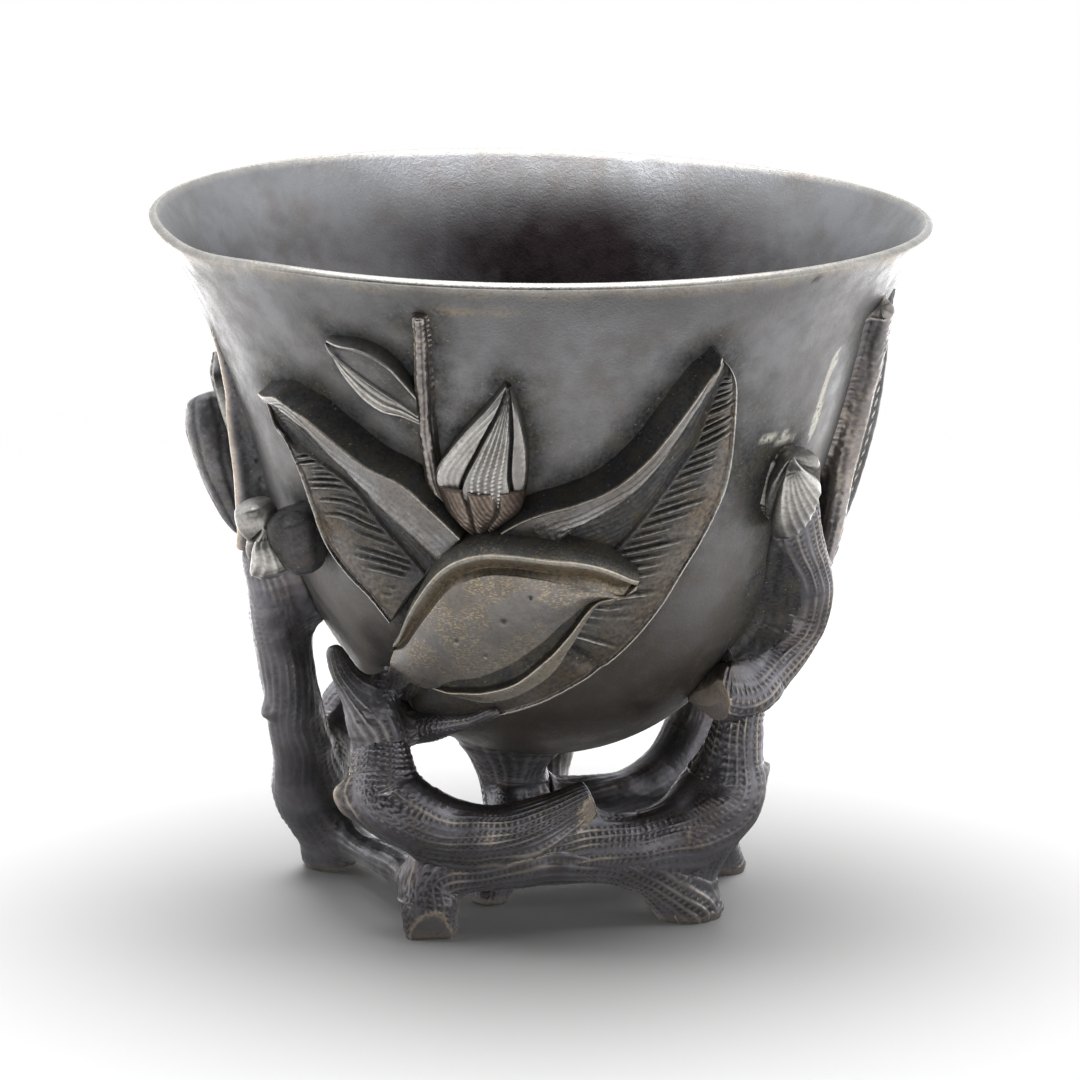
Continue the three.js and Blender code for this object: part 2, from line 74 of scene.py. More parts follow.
# The bowl's outline, as in the frame
BELLY_SHARE = 1.41
TAPER_SHARE = 0.58
FLARE_SHARE = 1 - BELLY_SHARE + TAPER_SHARE
FLARE_POWER = 5.5
PROFILE_ROWS = 160
PROFILE_CROWDING = 1.6

# Applied pieces
SUNK = 0.35
LEAF_RELIEF = 4.6
FOLD_RELIEF = 7.4
BUD_RELIEF = 4.4
CALYX_RELIEF = 3
LEAFLET_RELIEF = 3.2
BLADE_SHARE = 0.45
LEAST_WIDTH = 0.6
UNDER_COLUMNS = 6
SEAT_STEP = (5, 6)
VEIN_PITCH = 1.62
VEIN_DEPTH = 0.62
VEIN_CURVE = 0.035
VEIN_LIP = 0.3
VEIN_GRIME = 1.2
VEIN_WEAR = 0.55
GATHER_OVER = 8
PITCH_LUCK = 0.12
LENGTH_LUCK = 0.14
FOLD_LINES = 0.8
FOLD_LINE_HEIGHT = 0.1
BLADE_GRIT = 0.035

# Bark
BARK_PITCH = 0.95
BEAD_PITCH = 0.8
RIDGE = 0.18
BEAD = 0.13
GRIT = 0.5

# How limbs melt into what they meet
FILLET = 5
TWIG_FILLET = 1.5
MELT_LIMIT = 2.6
MELT_STEPS = 9
MELT_START = 0.9
MELT_LEAST = 0.3
HAND_OVER = 0.35
HAND_OVER_GAP = (0.1, 1.2)
COARSE_ROW = 3
COARSE_COLUMNS = 48

# Limbs: their round sections and grid, their ends, how the bark is calmed near the ends and
# where the rings crowd, cut faces, soles (share at the ground, what comes on above it, over what
# height) and how deep they go into the bowl
LIMB_BITS = 30
LIMB_SIZE = (130, 100)
BLUNT = 0.5
STUB_BLUNT = 1.0
END_RADIUS = 0.35
CALM_END = 1.5
CALM_LEAST = 0.15
CALM_APART = (0.6, 1.05)
CUT_EDGE = 0.2
CUT_EDGE_WEAR = 0.85
SOLE_TUCK = (0.9, 0.1, 1.2)
DEEPEST = 1.2
SEATED = 0.8
LIMB_SEAT_STEP = (3, 4)
BELOW_GROUND = -0.02

# Wear and grime that come from the shape, and painted shade on limbs: undersides and sides that
# face the bowl darkened, undersides less rubbed. Bends are in turns per millimetre.
LEAST_GAP = 0.03
SHARPEST = 6
RUBBED_RIDGES = 0.45
RUBBED_FROM = (1.5, 6)
GRIMY_GROOVES = 0.6
GRIMY_FROM = (0.5, 4)
UNDERSIDE_SHADE = 0.35
BOWL_SIDE_SHADE = 0.6
UNDERSIDE_LOSS = 0.6

# Camera, fitted to the rim and the feet
CAMERA_DISTANCE = 800
CAMERA_ELEVATION = 13.489
CAMERA_TARGET = (-0.127, 0, 47.573)
FOCAL_PIXELS = 6200
FRAME_PIXELS = 1080
SENSOR = 36
CLIP = (10, 20000)

# Integer mixing
WORD = 0xFFFFFFFF
SEED_FACTOR = 7919
SEED_START = 13
CELL_FACTORS = (374761393, 668265263, 2246822519)
MIX_FACTOR = 1274126177


# Number tools

def read_along(table, t):
    """A Catmull-Rom curve through the rows of a table, read at shares t of its length."""
    rows = np.asarray(table, float)
    flat = rows.ndim == 1
    rows = rows[:, None] if flat else rows
    last = len(rows) - 1
    at = np.clip(np.asarray(t, float) * last, 0, last)
    i = np.minimum(at.astype(int), last - 1)
    f = (at - i)[..., None]
    padded = np.vstack([2 * rows[0] - rows[1], rows, 2 * rows[-1] - rows[-2]])
    a, b, c, d = (padded[i + k] for k in range(4))
    curve = b + 0.5 * ((c - a) * f + (2 * a - 5 * b + 4 * c - d) * f**2 + (3 * b - a - 3 * c + d) * f**3)
    return curve[..., 0] if flat else curve


def step(x, low, high):
    """Smoothstep: 0 below low, 1 above high, an S curve between."""
    s = np.clip((x - low) / (high - low), 0, 1)
    return s * s * (3 - 2 * s)


def window(x, opens, closes):
    """A smoothstep that opens over one range and closes over another, 1 between them."""
    return step(x, *opens) * (1 - step(x, *closes))


def wrapped(degrees):
    """An angle brought between -180 and 180."""
    return (degrees + 180) % 360 - 180


def turned_from(turn, degrees):
    """Turns in radians, counted from a direction given in degrees, between -pi and pi."""
    return (turn - math.radians(degrees) + np.pi) % (2 * np.pi) - np.pi


def bell(x, width):
    """A bell curve, 1 at x = 0 and 1/e at x = width."""
    return np.exp(-((x / width) ** 2))


def scatter(cells, seed):
    """A fixed pseudo-random number from -1 to 1 for whole-numbered cells, from integer mixing."""
    word = np.uint64(WORD)
    key = np.full(cells.shape[:-1], seed * SEED_FACTOR + SEED_START, np.uint64)
    for axis, factor in enumerate(CELL_FACTORS[: cells.shape[-1]]):
        key = (key + cells[..., axis].astype(np.int64).astype(np.uint64) * np.uint64(factor)) & word
        key = ((key ^ (key >> np.uint64(13))) * np.uint64(MIX_FACTOR)) & word
    key = key ^ (key >> np.uint64(16))
    return key.astype(float) / (WORD // 2) - 1


def noise(points, size, seed):
    """Value noise: random values on a lattice of that size, blended with smoothsteps."""
    p = np.asarray(points, float) / size
    cell = np.floor(p)
    f = p - cell
    f = f * f * (3 - 2 * f)
    total = np.zeros(p.shape[:-1])
    for corner in np.ndindex(*(2,) * p.shape[-1]):
        offset = np.array(corner)
        weight = np.prod(np.where(offset, f, 1 - f), axis=-1)
        total += weight * scatter((cell + offset).astype(np.int64), seed)
    return total


def unit(vectors):
    """Vectors made one long."""
    return vectors / np.maximum(np.linalg.norm(vectors, axis=-1, keepdims=True), 1e-9)


def distance_along(points):
    """How far along a line of points each of them is."""
    return np.concatenate([[0], np.cumsum(np.linalg.norm(np.diff(points, axis=0), axis=-1))])


# The bowl's surface

def radius_share(h):
    """The bowl's radius at a share h of its height, as a share of the rim's radius."""
    return BELLY_SHARE * np.sqrt(h) - TAPER_SHARE * h + FLARE_SHARE * h**FLARE_POWER


def radius_slope(h):
    """The slope of that radius share."""
    flare = FLARE_SHARE * FLARE_POWER * h ** (FLARE_POWER - 1)
    return BELLY_SHARE / (2 * np.sqrt(h)) - TAPER_SHARE + flare


def height_of(level):
    """Level 0 is the ground, 1 the underside of the bowl and 2 its rim."""
    level = np.asarray(level, float)
    return np.where(level < 1, STAND_HEIGHT * level, STAND_HEIGHT + BOWL_HEIGHT * (level - 1))


def rim_wave(angle):
    """How far the rim rises at an angle: two soft waves round it, less one dent."""
    turn = wrapped(angle)
    bend = -np.sin(np.radians(turn)) + np.sin(np.radians(2 * turn)) / 3
    return RIM_WAVE * bend - RIM_DENT * bell(turn - DENT_AT, DENT_WIDTH)


def over(angle, level, lift=0):
    """A point on the bowl at an angle (0 front, 90 right) and level, lifted along its normal."""
    a = np.radians(angle)
    h = np.clip(np.asarray(level, float) - 1, 1e-5, 1.1)
    r = radius_share(h)
    x = RIM_WIDTH / 2 * r * np.sin(a)
    y = -RIM_DEPTH / 2 * r * np.cos(a)
    z = STAND_HEIGHT + BOWL_HEIGHT * h + rim_wave(np.asarray(angle, float)) * h**FLARE_POWER
    normal = unit(np.stack([
        RIM_DEPTH * BOWL_HEIGHT * np.sin(a) + 0 * h,
        -RIM_WIDTH * BOWL_HEIGHT * np.cos(a) + 0 * h,
        -RIM_WIDTH * RIM_DEPTH / 2 * radius_slope(h) + 0 * a,
    ], -1))
    return np.stack([x, y, z], -1) + normal * np.asarray(lift, float)[..., None]


profile_h = np.linspace(0, 1, PROFILE_ROWS) ** PROFILE_CROWDING
profile = np.stack([RIM_WIDTH / 2 * radius_share(profile_h), BOWL_HEIGHT * profile_h], -1)


def bowl_distance(points):
    """Distance to the bowl's outside, less than 0 within it: the nearest place of the outline,
    after the point is carried round to the bowl's widest side."""
    across = RIM_WIDTH / 2 * np.hypot(points[..., 0] / (RIM_WIDTH / 2), points[..., 1] / (RIM_DEPTH / 2))
    q = np.stack([across, points[..., 2] - STAND_HEIGHT], -1)
    gap = np.linalg.norm(q[..., None, :] - profile, axis=-1)
    within = q[..., 0] < np.interp(q[..., 1], profile[:, 1], profile[:, 0], left=-1)
    return gap.min(-1) * np.where(within, -1, 1)


# Meshes

def faces_of(rows, columns):
    """Quads between rings that close on themselves, and a fan over each end."""
    i = np.arange(rows - 1)[:, None] * columns
    j = np.arange(columns)[None, :]
    k = (j + 1) % columns
    quads = np.stack([i + j, i + k, i + columns + k, i + columns + j], -1).reshape(-1, 4)
    first, last = rows * columns, rows * columns + 1
    end = (rows - 1) * columns
    j, k = j.ravel(), k.ravel()
    fans = np.concatenate([
        np.stack([np.full_like(j, first), k, j], -1),
        np.stack([np.full_like(j, last), end + j, end + k], -1),
    ])
    return quads, fans


def volume(points, quads, fans):
    """Six times the volume inside, less than 0 if the faces look inwards."""
    tris = np.concatenate([quads[:, :3], quads[:, [0, 2, 3]], fans])
    a, b, c = (points[tris[:, k]] for k in range(3))
    return np.einsum("ij,ij->", a, np.cross(b, c))


def bend(rings):
    """How sharply a grid of rings bends at each place, in turns per millimetre, more than 0 on
    ridges and less than 0 in grooves: the second differences along and across the rings over
    their spacings, taken along the normal, limited and blended with the neighbours."""
    ahead = np.concatenate([rings[1:], rings[-1:]])
    behind = np.concatenate([rings[:1], rings[:-1]])
    left, right = np.roll(rings, 1, 1), np.roll(rings, -1, 1)
    normal = unit(np.cross(right - left, ahead - behind))
    total = 0
    for a, b in ((behind, ahead), (left, right)):
        da = np.maximum(np.linalg.norm(a - rings, axis=-1), LEAST_GAP)[..., None]
        db = np.maximum(np.linalg.norm(b - rings, axis=-1), LEAST_GAP)[..., None]
        curve = 2 * ((a - rings) / da + (b - rings) / db) / (da + db)
        total = total + np.einsum("rck,rck->rc", curve, normal)
    middle = rings.mean(1, keepdims=True)
    if np.einsum("rck,rck->", normal, rings - middle) > 0:
        total = -total
    total = np.clip(total, -SHARPEST, SHARPEST)
    return (2 * total + np.roll(total, 1, 1) + np.roll(total, -1, 1)) / 4


def make(name, rings, material, wear, grime, gilt=0.0, crust=0.0, browned_and_shaded=0.0):
    """A closed piece from rings of points in millimetres, with how rubbed, grimy, gilt, crusted
    and browned each point is; the grime and the browning also carry painted shade in places. It
    replaces the frame's node of its name, if there is one. Sharp ridges are rubbed and grooves are grimy."""
    rows, columns = rings.shape[:2]
    rings = np.clip(rings, BOX_LOW, BOX_HIGH)
    sharp = bend(rings)
    looks = {
        "wear": wear + RUBBED_RIDGES * step(sharp, *RUBBED_FROM),
        "grime": grime + GRIMY_GROOVES * step(-sharp, *GRIMY_FROM),
        "gilt": gilt,
        "crust": crust,
        "browned_and_shaded": browned_and_shaded,
    }
    points = np.concatenate([rings.reshape(-1, 3), rings[0].mean(0)[None], rings[-1].mean(0)[None]])
    quads, fans = faces_of(rows, columns)
    if volume(points, quads, fans) < 0:
        quads, fans = quads[:, ::-1], fans[:, ::-1]
    mesh = bpy.data.meshes.new(name)
    mesh.vertices.add(len(points))
    mesh.vertices.foreach_set("co", (points * MM).ravel())
    corners = np.concatenate([quads.ravel(), fans.ravel()])
    mesh.loops.add(len(corners))
    mesh.loops.foreach_set("vertex_index", corners)
    starts = np.concatenate([np.arange(len(quads)) * 4, len(quads) * 4 + np.arange(len(fans)) * 3])
    mesh.polygons.add(len(starts))
    mesh.polygons.foreach_set("loop_start", starts)
    mesh.update(calc_edges=True)
    mesh.shade_smooth()
    for label, values in looks.items():
        values = np.broadcast_to(values, (rows, columns))
        flat = np.concatenate([values.ravel(), [values[0].mean(), values[-1].mean()]])
        mesh.attributes.new(label, "FLOAT", "POINT").data.foreach_set("value", np.clip(flat, 0, 1))
    mesh.materials.append(material)
    piece = bpy.data.objects.new(name, mesh)
    bpy.context.collection.objects.link(piece)
    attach(piece, "root")
    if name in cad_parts:
        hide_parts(name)


# Materials

CLOUD_ROUGHNESS = 0.55
CORNER_SAMPLES = 8


class Shade:
    """The node tree of a material or a world, with short calls for the nodes in use."""

    def __init__(self, owner):
        self.owner = owner
        owner.use_nodes = True
        self.tree = owner.node_tree
        self.shader = self.tree.nodes.get("Principled BSDF")
        self.coordinates = self.tree.nodes.new("ShaderNodeTexCoord").outputs
        self.place = self.coordinates["Object"]

    def put(self, socket, value):
        """A link or a plain value for a socket."""
        if isinstance(value, bpy.types.NodeSocket):
            self.tree.links.new(value, socket)
        else:
            socket.default_value = value

    def add(self, kind, inputs, **settings):
        """A node with its settings, and with links or values for its inputs by name or number."""
        node = self.tree.nodes.new(kind)
        for key, value in settings.items():
            setattr(node, key, value)
        for key, value in inputs.items():
            self.put(node.inputs[key], value)
        return node

    def math(self, operation, a, b, clamp=False):
        return self.add("ShaderNodeMath", {0: a, 1: b}, operation=operation, use_clamp=clamp).outputs[0]

    def plus(self, a, b):
        return self.math("ADD", a, b)

    def times(self, a, b, clamp=False):
        return self.math("MULTIPLY", a, b, clamp)

    def larger(self, a, b):
        return self.math("MAXIMUM", a, b)

    def rest_of(self, a):
        """What a share leaves of 1."""
        return self.math("SUBTRACT", 1.0, a)

    def attribute(self, name):
        return self.add("ShaderNodeAttribute", {}, attribute_name=name).outputs["Fac"]

    def height(self, vector):
        return self.add("ShaderNodeSeparateXYZ", {"Vector": vector}).outputs[2]

    def along(self, vector, direction):
        """The dot product of a vector with a fixed direction."""
        node = self.add("ShaderNodeVectorMath", {0: vector, 1: direction}, operation="DOT_PRODUCT")
        return node.outputs["Value"]

    def length(self, vector):
        return self.add("ShaderNodeVectorMath", {0: vector}, operation="LENGTH").outputs["Value"]

    def either(self, share, first, second):
        """A shader that goes from the first to the second by a share."""
        return self.add("ShaderNodeMixShader", {0: share, 1: first, 2: second}).outputs[0]

    def light(self, kind, colour, strength):
        """The shader of an emission or a background."""
        return self.add(kind, {"Color": (*colour, 1), "Strength": strength}).outputs[0]

    def cloud(self, size, detail, stretch=(1, 1, 1)):
        """Noise with features of that size in millimetres, about 0 to 1."""
        mapped = self.add("ShaderNodeMapping", {"Vector": self.place, "Scale": stretch}).outputs[0]
        inputs = {"Vector": mapped, "Scale": 1 / (size * MM), "Detail": detail, "Roughness": CLOUD_ROUGHNESS}
        return self.add("ShaderNodeTexNoise", inputs).outputs["Fac"]

    def ramp(self, value, low, high, to_low=0.0, to_high=1.0):
        """A smoothstep from one value at low to another at high."""
        inputs = {"Value": value, "From Min": low, "From Max": high, "To Min": to_low, "To Max": to_high}
        return self.add("ShaderNodeMapRange", inputs, interpolation_type="SMOOTHSTEP").outputs[0]

    def patches(self, size, detail, low, high):
        """A share that comes and goes in clouds of that size."""
        return self.ramp(self.cloud(size, detail), low, high)

    def mix(self, share, a, b):
        """A colour that goes from the first to the second by a share."""
        a, b = ((*colour, 1) if isinstance(colour, tuple) else colour for colour in (a, b))
        return self.add("ShaderNodeMix", {0: share, 6: a, 7: b}, data_type="RGBA").outputs[2]

    def corner(self, reach):
        """How closed in a place is, from 0 in the open to 1 in a crevice."""
        node = self.add("ShaderNodeAmbientOcclusion", {"Distance": reach * MM}, samples=CORNER_SAMPLES)
        return self.rest_of(node.outputs["AO"])


# Colours of the bronze
GOLD = (0.42, 0.33, 0.20)
CREAM = (0.60, 0.55, 0.46)
# Patina colours, also used as painted shade where the grime carries it
PATINA_AND_SHADE = (0.013, 0.013, 0.013)
OLIVE = (0.05, 0.044, 0.024)
RUST = (0.1, 0.06, 0.045)
CRUST = (0.75, 0.72, 0.62)
BROWN = (0.024, 0.017, 0.019)

# Sizes of its clouds and grains in millimetres
CLOUDS = 9
RUST_PATCHES = 6
GOLD_PATCHES = 5
MOULD = 3
BLOTCHES = 2.4
CREVICE = 2.2
CRUST_GRAIN = 0.7
FINE = 0.5
STROKES = 0.44
DUST_AND_GLINTS = 0.34
SPECKS = 0.22

# Where the bowl's darker, browner lower colour sets in, a painted reflection of the shaded
# floor and stand, and how much the clouds shift it
SHADED_LOW_FROM = (34, 70)
SHADED_LOW_WAVES = 14


def bronze(name, body, deep, rubbed, roughness, grain, gold, rust, low=None, fleck_at=0.56, golden=GOLD):
    """Patinated bronze: a cloudy dark body, rubbed bright where the piece is worn, warm and
    golden in flecks, with dull green-black patina in the grimy places and crevices, the same dark
    also standing for painted shade where the grime carries it, dark brown where it is browned, partly
    as painted shade, and under a pale crust that isn't metal where it is crusted."""
    s = Shade(bpy.data.materials.new(name))
    wear, grime, gilt = s.attribute("wear"), s.attribute("grime"), s.attribute("gilt")
    clouds = s.cloud(CLOUDS, 5)
    fine = s.cloud(FINE, 4)
    speck = s.cloud(SPECKS, 2)
    colour = s.mix(s.ramp(clouds, 0.35, 0.65), deep, body)
    # Painted reflection: the body turns darker and browner towards the bottom of the bowl
    if low:
        wavy = s.plus(s.height(s.place), s.times(clouds, SHADED_LOW_WAVES * MM))
        colour = s.mix(s.ramp(wavy, SHADED_LOW_FROM[0] * MM, SHADED_LOW_FROM[1] * MM, 1.0, 0.0), colour, low)
    reddish = s.times(s.patches(RUST_PATCHES, 4, 0.5, 0.7), rust)
    colour = s.mix(reddish, colour, RUST)
    blotch = s.cloud(BLOTCHES, 5)
    colour = s.mix(s.ramp(blotch, 0.5, 0.68, 0.0, 0.35), colour, deep)
    strokes = s.ramp(s.cloud(STROKES, 5, (1, 1, 2.5)), fleck_at, fleck_at + 0.1)
    flecks = s.times(s.times(strokes, gold), s.patches(GOLD_PATCHES, 3, 0.36, 0.56))
    gilded = s.times(gilt, s.ramp(fine, 0.3, 0.6))
    colour = s.mix(s.larger(flecks, gilded), colour, golden)
    patchy = s.times(wear, s.ramp(fine, 0.25, 0.6, 0.45, 1.0))
    colour = s.mix(patchy, colour, rubbed)
    crevice = s.ramp(s.corner(CREVICE), 0.25, 0.8)
    # Grime and crevices: patina and dirt, and painted shade where the grime carries it
    dirt_and_shade = s.times(grime, s.ramp(fine, 0.2, 0.75, 1.0, 0.6))
    dirt_and_shade = s.larger(dirt_and_shade, s.times(crevice, 0.9))
    dirt_and_shade = s.times(dirt_and_shade, s.rest_of(s.times(wear, 0.8)), True)
    mould = s.mix(s.patches(MOULD, 4, 0.42, 0.68), PATINA_AND_SHADE, OLIVE)
    # Pale specks in the dark places: dust, and painted glints
    dust_and_glints = s.times(s.patches(DUST_AND_GLINTS, 0, 0.77, 0.83), 0.35)
    colour = s.mix(dirt_and_shade, colour, s.mix(dust_and_glints, mould, CREAM))
    # Browned: a brown tone, with painted shade on the back of the inside
    colour = s.mix(s.attribute("browned_and_shaded"), colour, BROWN)
    crust = s.times(s.attribute("crust"), s.patches(CRUST_GRAIN, 4, 0.3, 0.5), True)
    colour = s.mix(crust, colour, CRUST)
    s.put(s.shader.inputs["Base Color"], colour)
    dull = s.times(dirt_and_shade, 0.3)
    dull = s.plus(dull, s.ramp(clouds, 0.3, 0.7, roughness + 0.05, roughness - 0.05))
    dull = s.plus(dull, s.ramp(speck, 0.35, 0.7, -0.03, 0.06))
    dull = s.plus(dull, s.ramp(blotch, 0.35, 0.65, -0.05, 0.06))
    s.put(s.shader.inputs["Roughness"], dull)
    bare = s.rest_of(crust)
    s.put(s.shader.inputs["Metallic"], s.times(s.ramp(dirt_and_shade, 0.1, 0.9, 0.94, 0.35), bare))
    height = s.plus(s.times(fine, 0.6), s.times(speck, 0.4))
    bump = s.add("ShaderNodeBump", {"Strength": 0.8, "Distance": grain * MM, "Height": height})
    s.put(s.shader.inputs["Normal"], bump.outputs[0])
    return s.owner


# The low colour is a painted reflection of the shaded floor and stand
bowl_finish = bronze("bowl_bronze", (0.208, 0.21, 0.219), (0.168, 0.166, 0.168), CREAM, roughness=0.38,
                     grain=0.07, gold=0.12, rust=0.22, low=(0.13, 0.112, 0.10))
branch_finish = bronze("branch_bronze", (0.222, 0.219, 0.24), (0.132, 0.127, 0.14), (0.47, 0.40, 0.32),
                       roughness=0.34, grain=0.05, gold=0.15, rust=0.3)
leaf_finish = bronze("leaf_bronze", (0.16, 0.163, 0.178), (0.095, 0.09, 0.092), (0.56, 0.54, 0.5),
                     roughness=0.3, grain=0.05, gold=0.25, rust=0.4)
dome_finish = bronze("dome_bronze", (0.16, 0.162, 0.172), (0.13, 0.125, 0.12), CREAM, roughness=0.33,
                     grain=0.025, gold=0.7, rust=0.1, fleck_at=0.5, golden=(0.44, 0.335, 0.2))
bud_finish = bronze("bud_bronze", (0.19, 0.187, 0.19), (0.11, 0.104, 0.102), (0.6, 0.58, 0.54),
                    roughness=0.36, grain=0.05, gold=0.3, rust=0.3)
calyx_finish = bronze("calyx_bronze", (0.12, 0.075, 0.062), (0.075, 0.045, 0.036), CREAM, roughness=0.45,
                      grain=0.05, gold=0.15, rust=0.8)


# Reliefs laid on the bowl

# Where pieces meet the bowl, for the patina and the painted shade round them
seats = []


class Rail:
    """One line along a relief: its place across, as shares of the way from the first edge to the
    second plus a length outwards, its height as shares of the relief plus a length, and how
    rubbed, grimy and gilt it is, the grime also carrying painted shade. Columns and swell say how
    the surface goes on to the next rail."""

    def __init__(self, place, height, columns, out=0.0, rise=0.0, swell=0.0, wear=0.0, grime=0.0, gilt=0.0):
        self.place, self.height = place, height
        self.columns, self.out, self.rise, self.swell = columns, out, rise, swell
        self.wear, self.grime, self.gilt = wear, grime, gilt


def wall_foot(place, columns, out, grime):
    """The rail where a relief's wall meets the bowl, a little under its surface."""
    return Rail(place, 0, columns, out=out, rise=-SUNK, grime=grime)


def rail_values(table, t):
    """A rail's table read at shares t of the length, or its one number at all of them."""
    return np.full(len(t), float(table)) if np.isscalar(table) else read_along(table, t)


def relief(name, edges, tallness, rails, material, rows, detail):
    """A raised form between two edges on the bowl. Each edge row gives angle and level of the
    first edge, then of the second. Between rails the place runs straight and the height runs
    straight plus a half sine of the swell. Detail adds to height, wear and grime, the grime also
    carrying painted shade."""
    t = np.linspace(0, 1, rows)
    lines = read_along(edges, t)
    first, second = lines[:, :2], lines[:, 2:]
    ends = over(first[:, 0], first[:, 1]), over(second[:, 0], second[:, 1])
    width = np.maximum(np.linalg.norm(ends[1] - ends[0], axis=-1), LEAST_WIDTH)
    run = distance_along((ends[0] + ends[1]) / 2)
    spots = [(rail_values(rail.place, t) + rail.out / width)[:, None] for rail in rails]
    tops = [(rail_values(rail.height, t) * tallness + rail.rise)[:, None] for rail in rails]
    bands = []
    for k, (rail, after) in enumerate(zip(rails, rails[1:])):
        s = np.arange(rail.columns)[None, :] / rail.columns
        bands.append([
            spots[k] * (1 - s) + spots[k + 1] * s,
            tops[k] * (1 - s) + tops[k + 1] * s + rail.swell * np.sin(np.pi * s),
            np.repeat(rail.wear * (1 - s) ** 2 + after.wear * s**2, rows, 0),
            np.repeat(rail.grime * (1 - s) + after.grime * s, rows, 0),
            np.repeat(rail.gilt * (1 - s) + after.gilt * s, rows, 0),
        ])
    s = np.arange(UNDER_COLUMNS + 1)[None, :] / UNDER_COLUMNS
    full = np.ones((rows, UNDER_COLUMNS + 1))
    bands.append([spots[-1] * (1 - s) + spots[0] * s, -SUNK * full, 0 * full, full, 0 * full])
    place, height, wear, grime, gilt = (np.concatenate(part, 1) for part in zip(*bands))
    more = detail(t[:, None] + 0 * place, place, run[:, None] + 0 * place, width[:, None] + 0 * place)
    height = height + np.where(height > 0, more[0], 0)
    wear = np.clip(wear + more[1], 0, 1)
    grime = np.clip(grime + more[2], 0, 1)
    spot = first[:, None, :] * (1 - place[..., None]) + second[:, None, :] * place[..., None]
    picked = spot[:: SEAT_STEP[0], :: SEAT_STEP[1]]
    seats.append(over(picked[..., 0], picked[..., 1]).reshape(-1, 3))
    make(name, over(spot[..., 0], spot[..., 1], height), material, wear, grime, gilt)


def veins(run, place, width, start, stop, slant, seed, pitch=VEIN_PITCH, depth=VEIN_DEPTH, gather=0.0):
    """Engraved side veins: grooves at a pitch along the leaf, leaning towards its tip by the slant
    and straightening outwards, each with a raised lower lip, from the start place to a stop place
    that differs vein by vein. Gather brings them closer together near the tip."""
    out = np.maximum(place - start, 0) * width
    along = run + slant * out - VEIN_CURVE * slant * out**2
    turns = along / pitch - gather * np.exp(-along / GATHER_OVER)
    number = np.floor(turns)
    luck = scatter(number[..., None], seed)
    f = turns - number - 0.5 + PITCH_LUCK * luck
    end = stop + LENGTH_LUCK * luck
    fade = window(place, (start, start + 0.04), (end - 0.22, end))
    groove = bell(f, 0.17) * (0.85 + 0.25 * luck)
    lip = bell(f - 0.3, 0.11)
    return fade * depth * (VEIN_LIP * lip - groove), fade * lip * VEIN_WEAR, fade * groove * VEIN_GRIME


def grain(run, place, width, size, seed):
    """Fine unevenness of a cast surface, laid out on the leaf."""
    return noise(np.stack([run, place * width], -1), size, seed)


def crests(phase):
    """Rounded lines, 1 on each crest and 0 halfway to the next, one crest in every full turn."""
    return (0.5 + 0.5 * np.cos(phase)) ** 2


# Front leaves

LEFT_LEAF_SHARES = [
    [-55.1, 1.752, -55.35, 1.747], [-51.4, 1.75, -53.3, 1.715], [-45.5, 1.767, -50.7, 1.68],
    [-41, 1.745, -49.3, 1.615], [-36, 1.7, -48, 1.55], [-30.5, 1.66, -46, 1.49],
    [-25, 1.625, -42.5, 1.435], [-19.5, 1.585, -38, 1.39], [-14.5, 1.537, -34.5, 1.345],
]
RIGHT_LEAF_SHARES = [
    [28.9, 1.862, 29.2, 1.857], [27.6, 1.853, 31.2, 1.832], [25.5, 1.835, 33.3, 1.785],
    [23.5, 1.79, 34.3, 1.72], [21, 1.735, 35, 1.65], [17.5, 1.693, 34.5, 1.59],
    [12.5, 1.64, 31.5, 1.525], [6.5, 1.607, 28, 1.46], [0, 1.585, 23.5, 1.385], [-6, 1.558, 18, 1.297],
    [-12, 1.51, 9, 1.252], [-20, 1.44, -3, 1.21], [-30, 1.33, -16, 1.17], [-38, 1.26, -33, 1.14],
    [-45, 1.205, -43, 1.128],
]
FOLDED_LEAF_SHARES = [
    [18.2, 1.462, 17.8, 1.448], [14.5, 1.49, 14.5, 1.424], [10.5, 1.507, 11, 1.415],
    [6, 1.52, 8.5, 1.39], [1, 1.527, 6, 1.335], [-5, 1.53, 2.5, 1.28], [-11, 1.53, -4, 1.238],
    [-17, 1.513, -12, 1.225], [-22, 1.47, -20, 1.235], [-27, 1.41, -27, 1.265],
    [-31, 1.345, -34, 1.295],
]


def leaf_rails(edge, lip, fold, far, crest):
    """The section of a large leaf: a steep wall painted dark as shade, a bright line, a polished lip,
    a drop into the blade painted dark as its shadow, the fold line, the veined blade painted dark as
    shade over its patina, a granular golden band and a thin bright far edge."""
    edge, lip, fold, far, crest = (np.array(x, float) for x in (edge, lip, fold, far, crest))
    low = np.minimum(crest, 1) * BLADE_SHARE
    return [
        # The wall and the blade get full grime: painted shade, with patina in the hollows
        wall_foot(edge, 10, -1.3, 1),
        Rail(edge, crest * 0.9, 3, out=-0.16, grime=1),
        Rail(edge, crest, 3, out=-0.02, wear=0.8, gilt=0.8),
        Rail(edge, crest * 0.985, 14, out=0.2, wear=0.15, gilt=0.15),
        Rail(lip, crest * 0.9, 4, out=-0.1, wear=0.35),
        Rail(lip, low * 1.2, 26, out=0.35, swell=0.3, grime=1.0),
        Rail(fold, low * 0.62, 5, grime=1.0),
        Rail(fold, low * 0.85, 60, out=0.4, swell=0.3, grime=0.85),
        Rail(far, low * 1.05, 4, out=-0.55, grime=0.2, gilt=0.35),
        Rail(far, low * 1.3, 3, out=-0.3, wear=0.9),
        Rail(far, low * 1.22, 4, out=-0.06, wear=0.9),
        wall_foot(far, 0, 0.25, 0.9),
    ]


